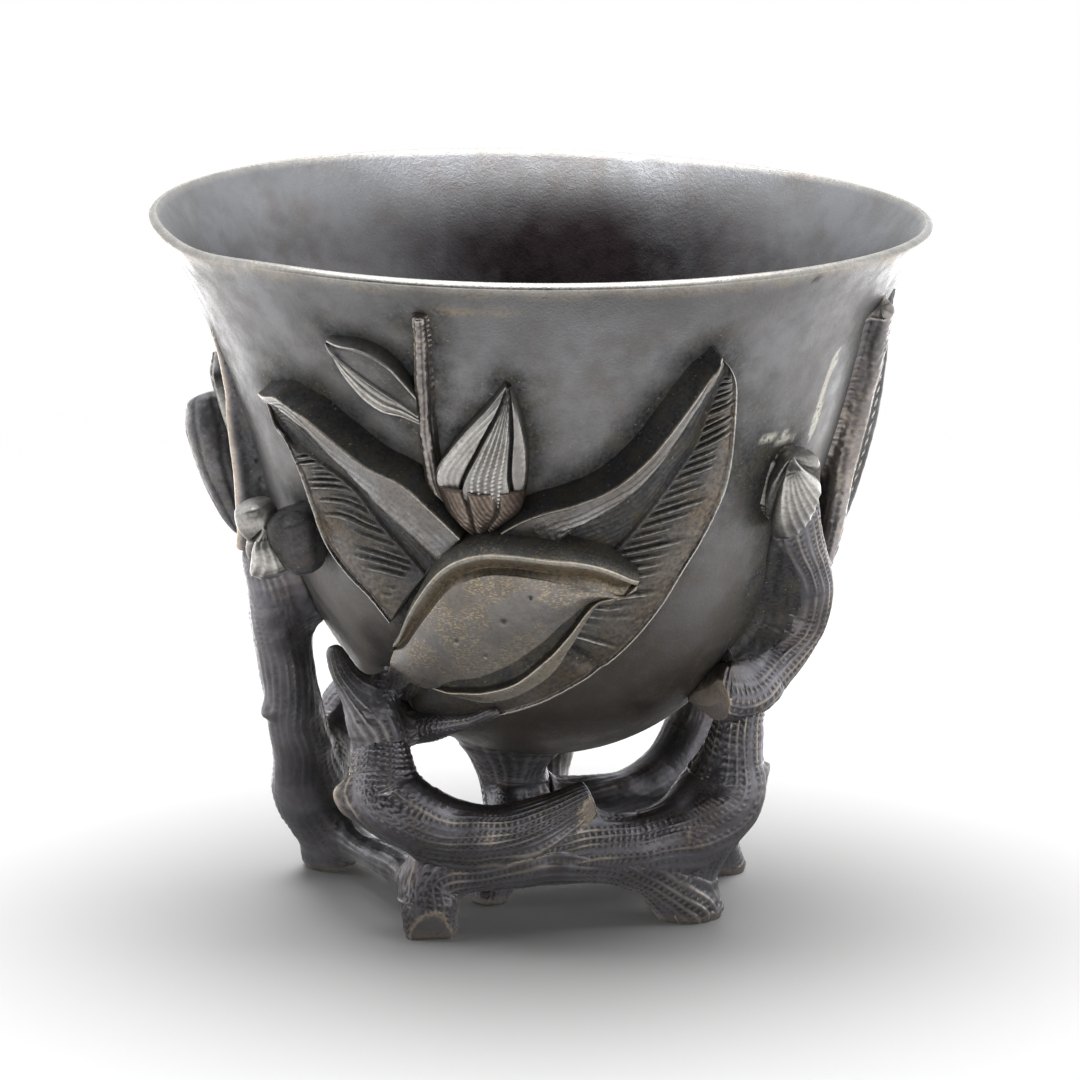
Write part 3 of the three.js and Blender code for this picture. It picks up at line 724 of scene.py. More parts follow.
def leaf_detail(fold_table, stop_table, vein_from, vein_to, slant, seed, marks=(), gather=0.0):
    """Side veins between two shares of the length, lines along the folded half, grain, and
    extra marks given as functions of the same places."""

    def detail(t, place, run, width):
        fold = read_along(fold_table, t[:, 0])[:, None]
        stop = read_along(stop_table, t[:, 0])[:, None]
        low, bright, dark = veins(run, place, width, fold + 0.03, stop, slant, seed, gather=gather)
        gate = window(t, (vein_from, vein_from + 0.04), (vein_to, vein_to + 0.03))
        inner = window(place, (0.02, 0.1), (fold - 0.08, fold))
        wander = 0.6 * grain(run, place, width, 6, seed + 1)
        lines = np.cos(2 * np.pi * (place * width / FOLD_LINES + wander))
        gritty = grain(run, place, width, GRIT, seed + 2)
        extra = low * gate - inner * FOLD_LINE_HEIGHT * (lines > 0.3) * lines
        extra = extra + BLADE_GRIT * gritty * step(place, 0.05, 0.2)
        wear = bright * gate + 0.12 * inner * (lines < -0.6)
        grime = dark * gate * 0.8
        for mark in marks:
            more = mark(t, place, run, width)
            extra, wear, grime = extra + more[0], wear + more[1], grime + more[2]
        return extra, wear, grime

    return detail


LEFT_FOLD = [1.3, 1.2, 1.0, 0.69, 0.46, 0.36, 0.41, 0.45, 0.46]
left_rails = leaf_rails(
    [0, -0.21, 0.11, 0.03, -0.02, -0.02, -0.06, -0.02, 0],
    [0.9, 0.23, 0.34, 0.20, 0.16, 0.17, 0.22, 0.24, 0.24],
    LEFT_FOLD,
    [1.6, 1.5, 1.11, 0.96, 0.98, 1.03, 1.02, 1.01, 1.02],
    [0.45, 0.62, 0.78, 0.88, 0.92, 0.95, 0.95, 0.92, 0.86],
)
LEFT_VEINS_STOP = [1.5, 1.3, 1.05, 0.86, 0.78, 0.77, 0.79, 0.81, 0.82]
left_detail = leaf_detail(LEFT_FOLD, LEFT_VEINS_STOP, 0.34, 0.93, 1.7, 3)
relief("front_left_leaf", LEFT_LEAF_SHARES, LEAF_RELIEF, left_rails, leaf_finish, 380,
       left_detail)


HOLLOW_AT = (0.70, 0.86)


def slot_mark(t, place, run, width):
    """A lens-shaped hollow by the tip of the folded leaf."""
    t_off, place_off = t - HOLLOW_AT[0], place - HOLLOW_AT[1]
    far = t_off / 0.030 + place_off / 0.22 * 0.9
    along = place_off / 0.16 - t_off / 0.12
    pit = bell(far, 0.42) * bell(along, 1.0)
    return -0.9 * pit, 0 * t, 1.2 * pit


def short_veins(t, place, run, width):
    """A second group of side veins between the folded leaf and the outer edge."""
    low, bright, dark = veins(run, place, width, 0.64, 0.9, 0.9, 12, pitch=1.3, depth=0.45)
    gate = window(t, (0.615, 0.63), (0.68, 0.70))
    return low * gate, bright * gate, dark * gate


RIGHT_FOLD = [0.9, 0.85, 0.58, 0.48, 0.45, 0.43, 0.45, 0.49, 0.52, 0.55, 0.58, 0.6, 0.6, 0.6, 0.6]
right_rails = leaf_rails(
    [0, 0.14, 0.09, 0.03, -0.01, 0.02, 0, -0.02, -0.02, 0, 0, 0, 0, 0, 0],
    [0.6, 0.33, 0.26, 0.16, 0.12, 0.15, 0.16, 0.16, 0.19, 0.24, 0.26, 0.3, 0.34, 0.36, 0.36],
    RIGHT_FOLD,
    [1.3, 1.19, 1.03, 1.02, 1.02, 1.02, 1.05, 1.05, 1.06, 1.01, 1.05, 1.09, 1.08, 1.05, 1],
    [0.4, 0.62, 0.76, 0.85, 0.9, 0.92, 0.94, 0.95, 0.92, 0.85, 0.78, 0.72, 0.66, 0.6, 0.5],
)
RIGHT_VEINS_STOP = [1.2, 1.1, 0.95, 0.88, 0.84, 0.84, 0.84, 0.86, 0.88, 0.84, 0.8, 0.8, 0.8, 0.8, 0.8]
right_detail = leaf_detail(RIGHT_FOLD, RIGHT_VEINS_STOP, 0.10, 0.60, 1.35, 5, [slot_mark, short_veins], 5.0)
relief("front_right_leaf", RIGHT_LEAF_SHARES, LEAF_RELIEF, right_rails, leaf_finish, 520,
       right_detail)

# Folded leaf: wall painted dark as shade, rolled ridge, brown groove, dome, dark crescent groove, lip
RIDGE_AT = [0.3, 0.16, 0.06, 0.02, 0, -0.02, 0, 0.05, 0.11, 0.22, 0.45]
GROOVE_AT = [0.5, 0.49, 0.34, 0.25, 0.15, 0.09, 0.09, 0.14, 0.23, 0.36, 0.6]
DOME_EDGE_AT = [0.7, 0.78, 0.73, 0.68, 0.64, 0.66, 0.71, 0.77, 0.84, 1.12, 1.5]
LIP_AT = [0.85, 0.95, 0.92, 0.92, 0.86, 0.84, 0.88, 0.92, 0.99, 1.2, 1.58]
OUTER_AT = [1.0, 1.14, 1.05, 1.06, 0.99, 0.98, 0.98, 1.01, 1.05, 1.21, 1.6]
FOLD_CREST = [0.62, 0.78, 0.88, 0.95, 1.0, 1.0, 0.97, 0.92, 0.84, 0.72, 0.6]
crest = np.array(FOLD_CREST)
fold_rails = [
    # The wall above the rolled ridge is painted dark: painted shade under the ridge
    wall_foot(RIDGE_AT, 14, -1.7, 0.9),
    Rail(RIDGE_AT, crest * 0.78, 8, out=-0.95, swell=0.15, grime=0.95),
    Rail(RIDGE_AT, crest * 0.96, 5, out=-0.35, swell=0.08, grime=0.75),
    Rail(RIDGE_AT, crest, 5, out=-0.15, wear=1),
    Rail(RIDGE_AT, crest * 0.99, 6, out=0.35, wear=0.75),
    Rail(GROOVE_AT, crest * 0.86, 6, out=-0.3, grime=0.2, gilt=0.9),
    Rail(GROOVE_AT, crest * 0.82, 8, out=0.2, grime=0.6, gilt=0.75),
    Rail(GROOVE_AT, crest * 0.93, 60, out=1.0, swell=0.6, gilt=0.15),
    Rail(DOME_EDGE_AT, crest * 0.90, 4, out=-0.12, wear=0.3),
    Rail(DOME_EDGE_AT, crest * 0.86, 5, out=0.04, wear=0.9),
    Rail(DOME_EDGE_AT, crest * 0.46, 8, out=0.5, grime=1),
    Rail(LIP_AT, crest * 0.50, 4, out=-0.2, grime=1),
    Rail(LIP_AT, crest * 0.68, 10, out=0.0, wear=0.7, swell=0.04),
    Rail(OUTER_AT, crest * 0.62, 4, out=-0.15, wear=0.8, gilt=0.3),
    Rail(OUTER_AT, crest * 0.52, 8, out=0.05, grime=0.7),
    wall_foot(OUTER_AT, 0, 0.2, 1),
]
PINHOLES = ((0.52, 0.42, 0.3), (0.70, 0.50, 0.22), (0.62, 0.62, 0.18), (0.40, 0.30, 0.2))


def dome_detail(t, place, run, width):
    """Slight unevenness and a few casting pinholes: share along, share across and size of each."""
    pits = 0 * t
    for at, across, size in PINHOLES:
        pits += np.exp(-(((run - at * run.max()) ** 2 + ((place - across) * width) ** 2) / size**2))
    wobble = 0.07 * grain(run, place, width, 5, 21) + 0.015 * grain(run, place, width, 0.7, 22)
    return wobble - 0.25 * pits, 0 * t, pits


relief("front_folded_leaf", FOLDED_LEAF_SHARES, FOLD_RELIEF, fold_rails, dome_finish, 360,
       dome_detail)

# The bud with its ribs and flaps, its calyx and the leaflet
FRONT_BUD_SHARES = [
    [-5.6, 1.815, -5, 1.81], [-8.5, 1.777, -3.9, 1.775], [-12, 1.738, -3, 1.735],
    [-15.5, 1.695, -2.5, 1.695], [-18.2, 1.655, -2.5, 1.655], [-18, 1.622, -3, 1.622],
    [-14, 1.592, -5, 1.594],
]
BACK_BUD_SHARES = [
    [157.5, 1.8, 158.2, 1.795], [161.5, 1.8, 157.8, 1.755], [165, 1.785, 159, 1.71],
    [167.5, 1.755, 161.5, 1.675], [169, 1.72, 165, 1.655], [171, 1.69, 169.5, 1.66],
]
RIBS = 6
FLAP_AT = [0.4, 0.38, 0.36, 0.36, 0.34, 0.28, 0.2]
RIB_EDGE_AT = [0.75, 0.78, 0.8, 0.8, 0.82, 0.86, 0.9]
bud_crest = np.array([0.45, 0.72, 0.88, 0.96, 1.0, 0.95, 0.8])
bud_rails = [
    wall_foot(0, 10, -0.35, 1),
    Rail(0, bud_crest * 0.58, 4, wear=0.8),
    Rail(0, bud_crest * 0.66, 14, out=0.35, wear=0.75),
    Rail(FLAP_AT, bud_crest * 0.72, 4, out=-0.3, wear=0.4),
    Rail(FLAP_AT, bud_crest * 0.55, 4, grime=0.9),
    Rail(FLAP_AT, bud_crest * 0.88, 50, out=0.3, swell=0.45, wear=0.35),
    Rail(RIB_EDGE_AT, bud_crest * 0.80, 4, out=-0.25, wear=0.5),
    Rail(RIB_EDGE_AT, bud_crest * 0.5, 4, grime=0.95),
    Rail(RIB_EDGE_AT, bud_crest * 0.66, 10, out=0.3, swell=0.1, wear=0.35),
    Rail(1, bud_crest * 0.52, 4, out=-0.1, wear=0.75),
    wall_foot(1, 0, 0.3, 0.9),
]


def rib_detail(t, place, run, width):
    """Ribs that fan from the tip: rounded lines at equal shares of the petal, each notched into
    a row of dots along its length, and finer lines on the flap."""
    across = (place - 0.36) / 0.44
    inside = window(place, (0.37, 0.41), (0.76, 0.80))
    crest = crests(2 * np.pi * across * RIBS) * inside
    dots = 0.5 + 0.5 * np.cos(2 * np.pi * run / 0.62 + np.pi * np.floor(across * RIBS + 0.5))
    flap = window(place, (0.04, 0.1), (0.28, 0.34))
    lines = crests(2 * np.pi * place * width / 0.7) * flap
    height = 0.2 * crest * (0.55 + 0.45 * dots) + 0.07 * lines
    wear = 0.7 * crest * (0.4 + 0.6 * dots) + 0.35 * lines
    return height, wear, 0.25 * inside * (1 - crest) * step(t, 0.1, 0.4)


relief("front_bud", FRONT_BUD_SHARES, BUD_RELIEF, bud_rails, bud_finish, 220, rib_detail)
relief("back_bud", BACK_BUD_SHARES, BUD_RELIEF, bud_rails, bud_finish, 150, rib_detail)

CALYX_SHARES = [
    [-18.6, 1.63, -2.8, 1.625], [-17, 1.59, -3.6, 1.59], [-14.8, 1.562, -6.6, 1.562],
    [-13, 1.543, -9, 1.543],
]
calyx_rails = [
    wall_foot(0, 10, -0.3, 1),
    Rail(0, [0.75, 0.9, 1, 0.9], 16, swell=0.5, grime=0.35, wear=0.2),
    Rail(0.3, [1.35, 1.3, 1.2, 1.0], 3, wear=0.3),
    Rail(0.35, [1.1, 1.15, 1.1, 1.0], 3, grime=1),
    Rail(0.4, [1.4, 1.35, 1.2, 1.0], 18, swell=0.35, wear=0.3),
    Rail(0.65, [1.35, 1.3, 1.2, 1.0], 3, wear=0.3),
    Rail(0.7, [1.1, 1.1, 1.1, 1.0], 3, grime=1),
    Rail(0.75, [1.25, 1.2, 1.15, 1.0], 14, swell=0.3, wear=0.2),
    Rail(1, [0.75, 0.9, 0.9, 0.85], 6, grime=0.5),
    wall_foot(1, 0, 0.3, 1),
]


def calyx_detail(t, place, run, width):
    """Lengthwise chasing over the lobes."""
    lines = crests(2 * np.pi * place * width / 0.6)
    return 0.09 * lines + 0.04 * grain(run, place, width, 0.5, 31), 0.1 * lines, 0.4 * (1 - lines)


relief("front_bud_calyx", CALYX_SHARES, CALYX_RELIEF, calyx_rails, calyx_finish, 90,
       calyx_detail)

LEAFLET_SHARES = [
    [-35.2, 1.877, -35.2, 1.871], [-32.5, 1.878, -34.3, 1.848], [-29.5, 1.878, -32.7, 1.812],
    [-26.5, 1.868, -30, 1.775], [-24, 1.848, -27, 1.754], [-22.2, 1.82, -23.5, 1.748],
    [-20.5, 1.79, -20.5, 1.735],
]
MIDRIB_AT = [0.5, 0.46, 0.44, 0.44, 0.45, 0.48, 0.5]
leaflet_crest = np.array([0.45, 0.8, 0.95, 1.0, 1.0, 0.95, 0.85])
leaflet_rails = [
    wall_foot(0, 8, -0.45, 1),
    Rail(0, leaflet_crest * 0.72, 3, wear=0.75),
    Rail(0, leaflet_crest * 0.7, 16, out=0.25, swell=-0.2, grime=0.45),
    Rail(MIDRIB_AT, leaflet_crest * 0.85, 3, out=-0.15, grime=0.35),
    Rail(MIDRIB_AT, leaflet_crest, 4, wear=0.95),
    Rail(MIDRIB_AT, leaflet_crest * 0.72, 24, out=0.35, swell=0.1, grime=0.35),
    Rail(1, leaflet_crest * 0.62, 4, out=-0.2, wear=0.9),
    wall_foot(1, 0, 0.25, 0.9),
]


def leaflet_detail(t, place, run, width):
    """Three grooves that run the length of the lower half."""
    across = (place - 0.5) / 0.5
    lower = window(across, (0.1, 0.2), (0.8, 0.9)) * step(t, 0.08, 0.2)
    lines = bell((across * 3.2) % 1 - 0.5, 0.17)
    return -0.28 * lines * lower, 0.45 * (1 - lines) * lower, 0.8 * lines * lower


relief("front_leaflet", LEAFLET_SHARES, LEAFLET_RELIEF, leaflet_rails, bud_finish, 180,
       leaflet_detail)

# Side and back leaves
LEFT_REAR_LEAF_SHARES = [
    [-93, 1.745, -95, 1.74], [-90, 1.71, -99, 1.705], [-89, 1.66, -102, 1.655], [-89, 1.6, -103, 1.595],
]
RIGHT_REAR_LEAF_SHARES = [
    [90, 1.875, 92, 1.87], [87, 1.815, 97, 1.81], [85, 1.74, 101, 1.73], [84, 1.65, 103, 1.64],
    [85, 1.55, 103, 1.54], [87, 1.46, 102, 1.45], [90, 1.37, 98, 1.365],
]
BACK_LEFT_LEAF_SHARES = [
    [-140, 1.825, -139.5, 1.815], [-144, 1.825, -139, 1.76], [-149, 1.81, -140.5, 1.69],
    [-154, 1.785, -143.5, 1.62], [-159, 1.75, -148, 1.555], [-164.5, 1.705, -154, 1.495],
    [-170, 1.65, -161, 1.445], [-175, 1.585, -168.5, 1.41], [-179, 1.52, -176, 1.4],
]
BACK_RIGHT_LEAF_SHARES = [
    [143, 1.7, 143.5, 1.69], [147, 1.71, 144.5, 1.645], [152, 1.705, 148.5, 1.595],
    [157.5, 1.685, 153.5, 1.55], [163, 1.65, 159.5, 1.5], [168.5, 1.6, 166, 1.455],
    [173.5, 1.54, 172.5, 1.42], [177.5, 1.49, 177, 1.4],
]


def simple_leaf_rails(crest, bright, dirty):
    """A leaf folded along its middle: two hollow halves between raised edges and a midrib."""
    crest = np.array(crest, float)
    return [
        wall_foot(0, 8, -0.3, 1),
        Rail(0, crest * 0.75, 4, wear=bright),
        Rail(0, crest * 0.66, 30, out=0.4, swell=-0.25, grime=dirty),
        Rail(0.5, crest * 0.9, 4, out=-0.4, grime=dirty),
        Rail(0.5, crest, 4, wear=bright * 0.75),
        Rail(0.5, crest * 0.9, 30, out=0.4, swell=-0.25, grime=dirty),
        Rail(1, crest * 0.66, 4, out=-0.4, grime=dirty),
        Rail(1, crest * 0.75, 8, wear=bright),
        wall_foot(1, 0, 0.3, 1),
    ]


def chevron_detail(seed):
    """Side veins on both halves of a leaf, slanting away from the midrib."""

    def detail(t, place, run, width):
        mirrored = 0.5 + np.abs(place - 0.5)
        low, bright, dark = veins(run, mirrored, width, 0.54, 0.92, -0.5, seed, pitch=1.7, depth=0.28)
        gate = window(t, (0.08, 0.16), (0.86, 0.94))
        return low * gate + 0.03 * grain(run, place, width, 0.6, seed + 1), bright * gate, dark * gate

    return detail


left_rear_rails = simple_leaf_rails([0.5, 0.9, 1, 1], 0.8, 0.3)
right_rear_rails = simple_leaf_rails([0.2, 0.5, 0.85, 1.1, 1.2, 1.2, 1], 0.15, 0.7)
relief("left_rear_leaf", LEFT_REAR_LEAF_SHARES, LEAFLET_RELIEF, left_rear_rails, leaf_finish,
       140, chevron_detail(41))
relief("right_rear_leaf", RIGHT_REAR_LEAF_SHARES, LEAF_RELIEF, right_rear_rails, leaf_finish,
       260, chevron_detail(43))
BACK_FOLD = [0.8, 0.62, 0.5, 0.44, 0.42, 0.42, 0.44, 0.48, 0.5]
back_leaf_rails = leaf_rails(
    [0, -0.04, -0.04, -0.04, -0.04, -0.03, 0, 0, 0],
    [0.3, 0.2, 0.16, 0.14, 0.15, 0.18, 0.22, 0.28, 0.32],
    BACK_FOLD,
    [1, 1.02, 1.02, 1.02, 1.02, 1.02, 1.02, 1, 1], [0.45, 0.65, 0.8, 0.88, 0.92, 0.94, 0.9, 0.85, 0.8],
)
BACK_VEINS_STOP = [0.95, 0.9, 0.85, 0.82, 0.8, 0.8, 0.8, 0.8, 0.8]
back_detail = leaf_detail(BACK_FOLD, BACK_VEINS_STOP, 0.2, 0.88, -0.4, 51)
relief("back_left_leaf", BACK_LEFT_LEAF_SHARES, LEAF_RELIEF, back_leaf_rails, leaf_finish,
       190, back_detail)
relief("back_right_leaf", BACK_RIGHT_LEAF_SHARES, LEAF_RELIEF, back_leaf_rails, leaf_finish,
       170, back_detail)


# Branches, twigs and round buds

def stand_route(rows):
    """Places in mm and radius shares from rows of half-width share, half-depth share, level, width."""
    rows = np.array(rows, float)
    x, y = RIM_WIDTH / 2 * rows[:, 0], RIM_DEPTH / 2 * rows[:, 1]
    return np.stack([x, y, height_of(rows[:, 2]), rows[:, 3]], -1)


def wall_route(rows, thickness):
    """The same for a twig that lies on the bowl: rows of angle, level and width."""
    rows = np.array(rows, float)
    return np.column_stack([over(rows[:, 0], rows[:, 1], thickness / 2), rows[:, 2]])


class Limb:
    """A branch as places along its route with the radius at each."""

    def __init__(self, route, thickness):
        self.route = route
        self.thickness = thickness
        path = self.at(np.linspace(0, 1, LIMB_BITS))
        self.path, self.radii = path[:, :3], path[:, 3]

    def at(self, t):
        """Places and radii at shares t of the route."""
        rows = read_along(self.route, t)
        rows[..., 3] *= self.thickness / 2
        return rows

    def gap(self, points):
        """Distance to the round sections, less than 0 inside them."""
        a, b = self.path[:-1], self.path[1:]
        ab = b - a
        rel = points[:, None, :] - a
        s = np.clip(np.einsum("nsk,sk->ns", rel, ab) / np.einsum("sk,sk->s", ab, ab), 0, 1)
        away = np.linalg.norm(rel - s[..., None] * ab, axis=-1)
        return (away - (self.radii[:-1] * (1 - s) + self.radii[1:] * s)).min(1)


def joined(gaps, reach):
    """The smooth union of distances: the least of them, less (reach - |a - b|)^2 / 4 reach where
    two are within reach of each other."""
    total = gaps[0]
    for gap in gaps[1:]:
        overlap = np.clip(reach - np.abs(total - gap), 0, None)
        total = np.minimum(total, gap) - overlap**2 / (4 * reach)
    return total


def outward_lean(points):
    """The bowl's outward direction at points near its wall."""
    around = unit(points * [RIM_DEPTH / RIM_WIDTH, RIM_WIDTH / RIM_DEPTH, 0] + [0, 0, 1e-6])
    slope = radius_slope(profile_h[1:]) * RIM_WIDTH / 2 / BOWL_HEIGHT
    lean = np.arctan(np.interp(points[..., 2] - STAND_HEIGHT, BOWL_HEIGHT * profile_h[1:], slope))[..., None]
    return around * np.cos(lean) - np.array([0, 0, 1.0]) * np.sin(lean)


def melted_radius(limb, centres, spokes, radii, others, reach, limit):
    """How far out of the route each vertex lies on the joined form of a limb and what it meets,
    walked out from inside by the distance that is left, and no further than a limit. Past the
    middle of a corner the surface dips under the neighbour's."""
    shape = spokes.shape[:2]
    start = np.broadcast_to(centres[:, None], spokes.shape).reshape(-1, 3)
    ray = spokes.reshape(-1, 3)
    own = np.repeat(radii, shape[1])
    s = own * MELT_START
    for _ in range(MELT_STEPS):
        spots = start + ray * s[:, None]
        field = joined([limb.gap(spots)] + [other(spots) for other in others], reach)
        s = np.clip(s - field, MELT_LEAST * own, own + limit)
    spots = start + ray * s[:, None]
    nearest_other = np.min([other(spots) for other in others], axis=0)
    s = s - HAND_OVER * step(limb.gap(spots) - nearest_other, *HAND_OVER_GAP)
    return s.reshape(shape)


def refine(grid, rows, columns):
    """A coarse grid that closes round its columns, read smoothly on a finer one."""
    tall = read_along(grid, np.linspace(0, 1, rows))
    n = grid.shape[1]
    closed = np.concatenate([tall[:, -2:], tall, tall[:, :3]], 1).T
    at = (np.arange(columns) / columns * n + 2) / (n + 4)
    return read_along(closed, at).T


def section_frames(limb, rows):
    """Centres, radii and two directions across the route, carried along it without twist."""
    centre = limb.at(np.linspace(0, 1, rows))
    along = unit(np.gradient(centre[:, :3], axis=0))
    side = np.empty_like(along)
    now = np.array([0.0, 1.0, 0.0])
    for i, direction in enumerate(along):
        now = now - direction * now.dot(direction)
        now /= np.linalg.norm(now)
        side[i] = now
    return centre[:, :3], centre[:, 3], side, np.cross(along, side)


def spokes_round(turn, side, other):
    """Directions across a route at turns from the one direction towards the other."""
    return np.cos(turn)[..., None] * side[:, None] + np.sin(turn)[..., None] * other[:, None]


def melted(limb, frames, others, reach, limit, columns):
    """The melted radii on a full grid, found on a coarse one and refined."""
    rows = len(frames[0])
    picked = np.unique(np.append(np.arange(0, rows, COARSE_ROW), rows - 1))
    centres, radii, side, other = (each[picked] for each in frames)
    turn = np.arange(COARSE_COLUMNS)[None, :] * 2 * np.pi / COARSE_COLUMNS
    coarse = melted_radius(limb, centres, spokes_round(turn, side, other), radii, others, reach, limit)
    spaced = np.linspace(0, rows - 1, len(picked))
    even = np.stack([np.interp(spaced, picked, column) for column in coarse.T], 1)
    return refine(even, rows, columns)


def ring_normals(rings, centres):
    """Normals of a grid of rings from its differences, turned away from the centres."""
    down = np.gradient(rings, axis=0)
    around = np.roll(rings, -1, 1) - np.roll(rings, 1, 1)
    normal = unit(np.cross(around, down))
    inward = np.einsum("rck,rck->rc", normal, rings - centres[:, None]).mean() < 0
    return -normal if inward else normal


def bark(seed, ridge=RIDGE, bead=BEAD, knots=(), lumps=0.3, gilt=1.0, dark=0.0):
    """Bark: fine ridges along the branch at a pitch, drifting slowly sideways and fading in and
    out, strings of beads in some of the furrows, swellings, and knots (share along, degrees
    round, height, size)."""

    def surface(turn, run, radius, tube):
        count = max(5, round(2 * math.pi * float(radius.mean()) / BARK_PITCH))
        drift = 1.2 * noise(tube, 12, seed) + 0.35 * noise(tube, 4.5, seed + 1)
        phase = count * turn / (2 * np.pi) + drift
        number = np.floor(phase)
        f = phase - number - 0.5
        luck = scatter(np.mod(number, count)[..., None], seed + 2)
        strong = np.clip(0.6 + 0.4 * luck + 0.6 * noise(tube, 5, seed + 3), 0, 1.3)
        crest = bell(f, 0.16)
        furrow = bell(np.abs(f) - 0.5, 0.28)
        beat = 2 * np.pi * run / BEAD_PITCH + 5 * luck + 2 * noise(tube, 4, seed + 9)
        strung = step(noise(tube, 6, seed + 4) + 0.4 * luck, -0.6, 0.1)
        beads = np.clip(0.35 + np.cos(beat), 0, 1) * furrow * strung
        swell = lumps * noise(tube, 6, seed + 5) + 0.5 * lumps * noise(tube, 2.4, seed + 6)
        height = ridge * strong * crest + bead * beads + swell + 0.035 * noise(tube, GRIT, seed + 8)
        line = crest * step(strong, 0.4, 0.9)
        wear = gilt * (0.75 * line * step(noise(tube, 3.5, seed + 7), -0.35, 0.4) + 0.15 * beads)
        patches = step(noise(tube, 4, seed + 10), 0.1, 0.6)
        grime = 0.52 * furrow * (1 - 0.7 * beads) * strong + 0.25 * patches
        # Dark darkens the whole limb evenly; on the web of the right branch it is painted shade
        grime = grime + dark
        for at, degrees, tall, size in knots:
            side = turned_from(turn, degrees)
            spot = ((run - at * run.max()) ** 2 + (side * radius) ** 2) / size**2
            height = height + tall * np.exp(-spot)
            wear = wear + 0.4 * np.exp(-2 * spot) * (tall > 0)
            grime = grime + np.exp(-spot) * (tall < 0)
        return height, wear, grime

    return surface


def limb_piece(name, limb, skin, material, others, size, reach=FILLET, blunt=BLUNT, sole=None,
               cuts=(), limit=MELT_LIMIT):
    """A branch, twig or bud: round sections along the route, melted into what they meet, then
    moved out along the normal by the skin's height. Blunt rounds the ends over that length, but
    not an end that is a sole. Each cut is a plane (point, normal) with the shine of its face."""
    rows, columns = size
    frames = section_frames(limb, rows)
    centres, radii, side, other = frames
    run = distance_along(centres)
    turn = np.arange(columns)[None, :] * 2 * np.pi / columns + np.zeros((rows, 1))
    ends = np.minimum(run, run[-1] - run) / blunt
    round_off = np.sqrt(np.clip(1 - (1 - np.clip(ends, 0, 1)) ** 2, 0, 1)) * (1 - END_RADIUS) + END_RADIUS
    if sole:
        kept = {"first": run < run[-1] / 2, "last": run > run[-1] / 2, "both": run > -1}[sole]
        round_off = np.where(kept, 1, round_off)
    reached = melted(limb, frames, others, reach, limit, columns) * round_off[:, None]
    rings = centres[:, None] + reached[..., None] * spokes_round(turn, side, other)
    normal = ring_normals(rings, centres)
    radius = radii[:, None] + 0 * turn
    along = run[:, None] + 0 * turn
    tube = np.stack([radius * np.cos(turn), radius * np.sin(turn), along], -1)
    height, wear, grime = skin(turn, along, radius, tube)
    apart = np.linalg.norm(np.gradient(rings, axis=0), axis=-1) / np.gradient(run)[:, None]
    calm = np.clip(ends / CALM_END, CALM_LEAST, 1)[:, None] * step(apart, *CALM_APART)
    rings = rings + normal * (height * calm)[..., None]
    for point, facing, shine in cuts:
        facing = unit(np.array(facing, float))
        beyond = (rings - np.array(point, float)) @ facing
        rings = rings - facing * np.maximum(beyond, 0)[..., None]
        wear = wear * (beyond < 0) + CUT_EDGE_WEAR * bell(beyond, CUT_EDGE) + shine * (beyond > 0)
        grime = grime * (beyond < 0)
    # Painted shade: undersides and sides that face the bowl are darkened, and undersides lose rubbed
    # brightness
    inward = -np.einsum("rck,rck->rc", normal, unit(rings * [1, 1, 0] + [0, 0, 1e-6]))
    downward = -normal[..., 2]
    grime = grime + UNDERSIDE_SHADE * step(downward, 0.2, 0.9) + BOWL_SIDE_SHADE * step(inward, 0.15, 0.8)
    wear = wear * (1 - UNDERSIDE_LOSS * step(downward, 0.1, 0.7))
    if sole:
        tuck, swell, rise = SOLE_TUCK
        middle = centres[:, None] * [1, 1, 0] + rings * [0, 0, 1]
        rings = middle + (rings - middle) * (tuck + swell * step(rings[..., 2], 0, rise))[..., None]
        wear = wear + 0.5 * bell(rings[..., 2] - 0.5, 0.6)
    rings[..., 2] = np.maximum(rings[..., 2], 0)
    deep = bowl_distance(rings)
    rings = rings + outward_lean(rings) * np.maximum(0, -DEEPEST - deep)[..., None]
    picked = slice(None, None, LIMB_SEAT_STEP[0]), slice(None, None, LIMB_SEAT_STEP[1])
    near = rings[picked][deep[picked] < SEATED]
    if len(near):
        seats.append(near)
    make(name, rings, material, wear, grime)


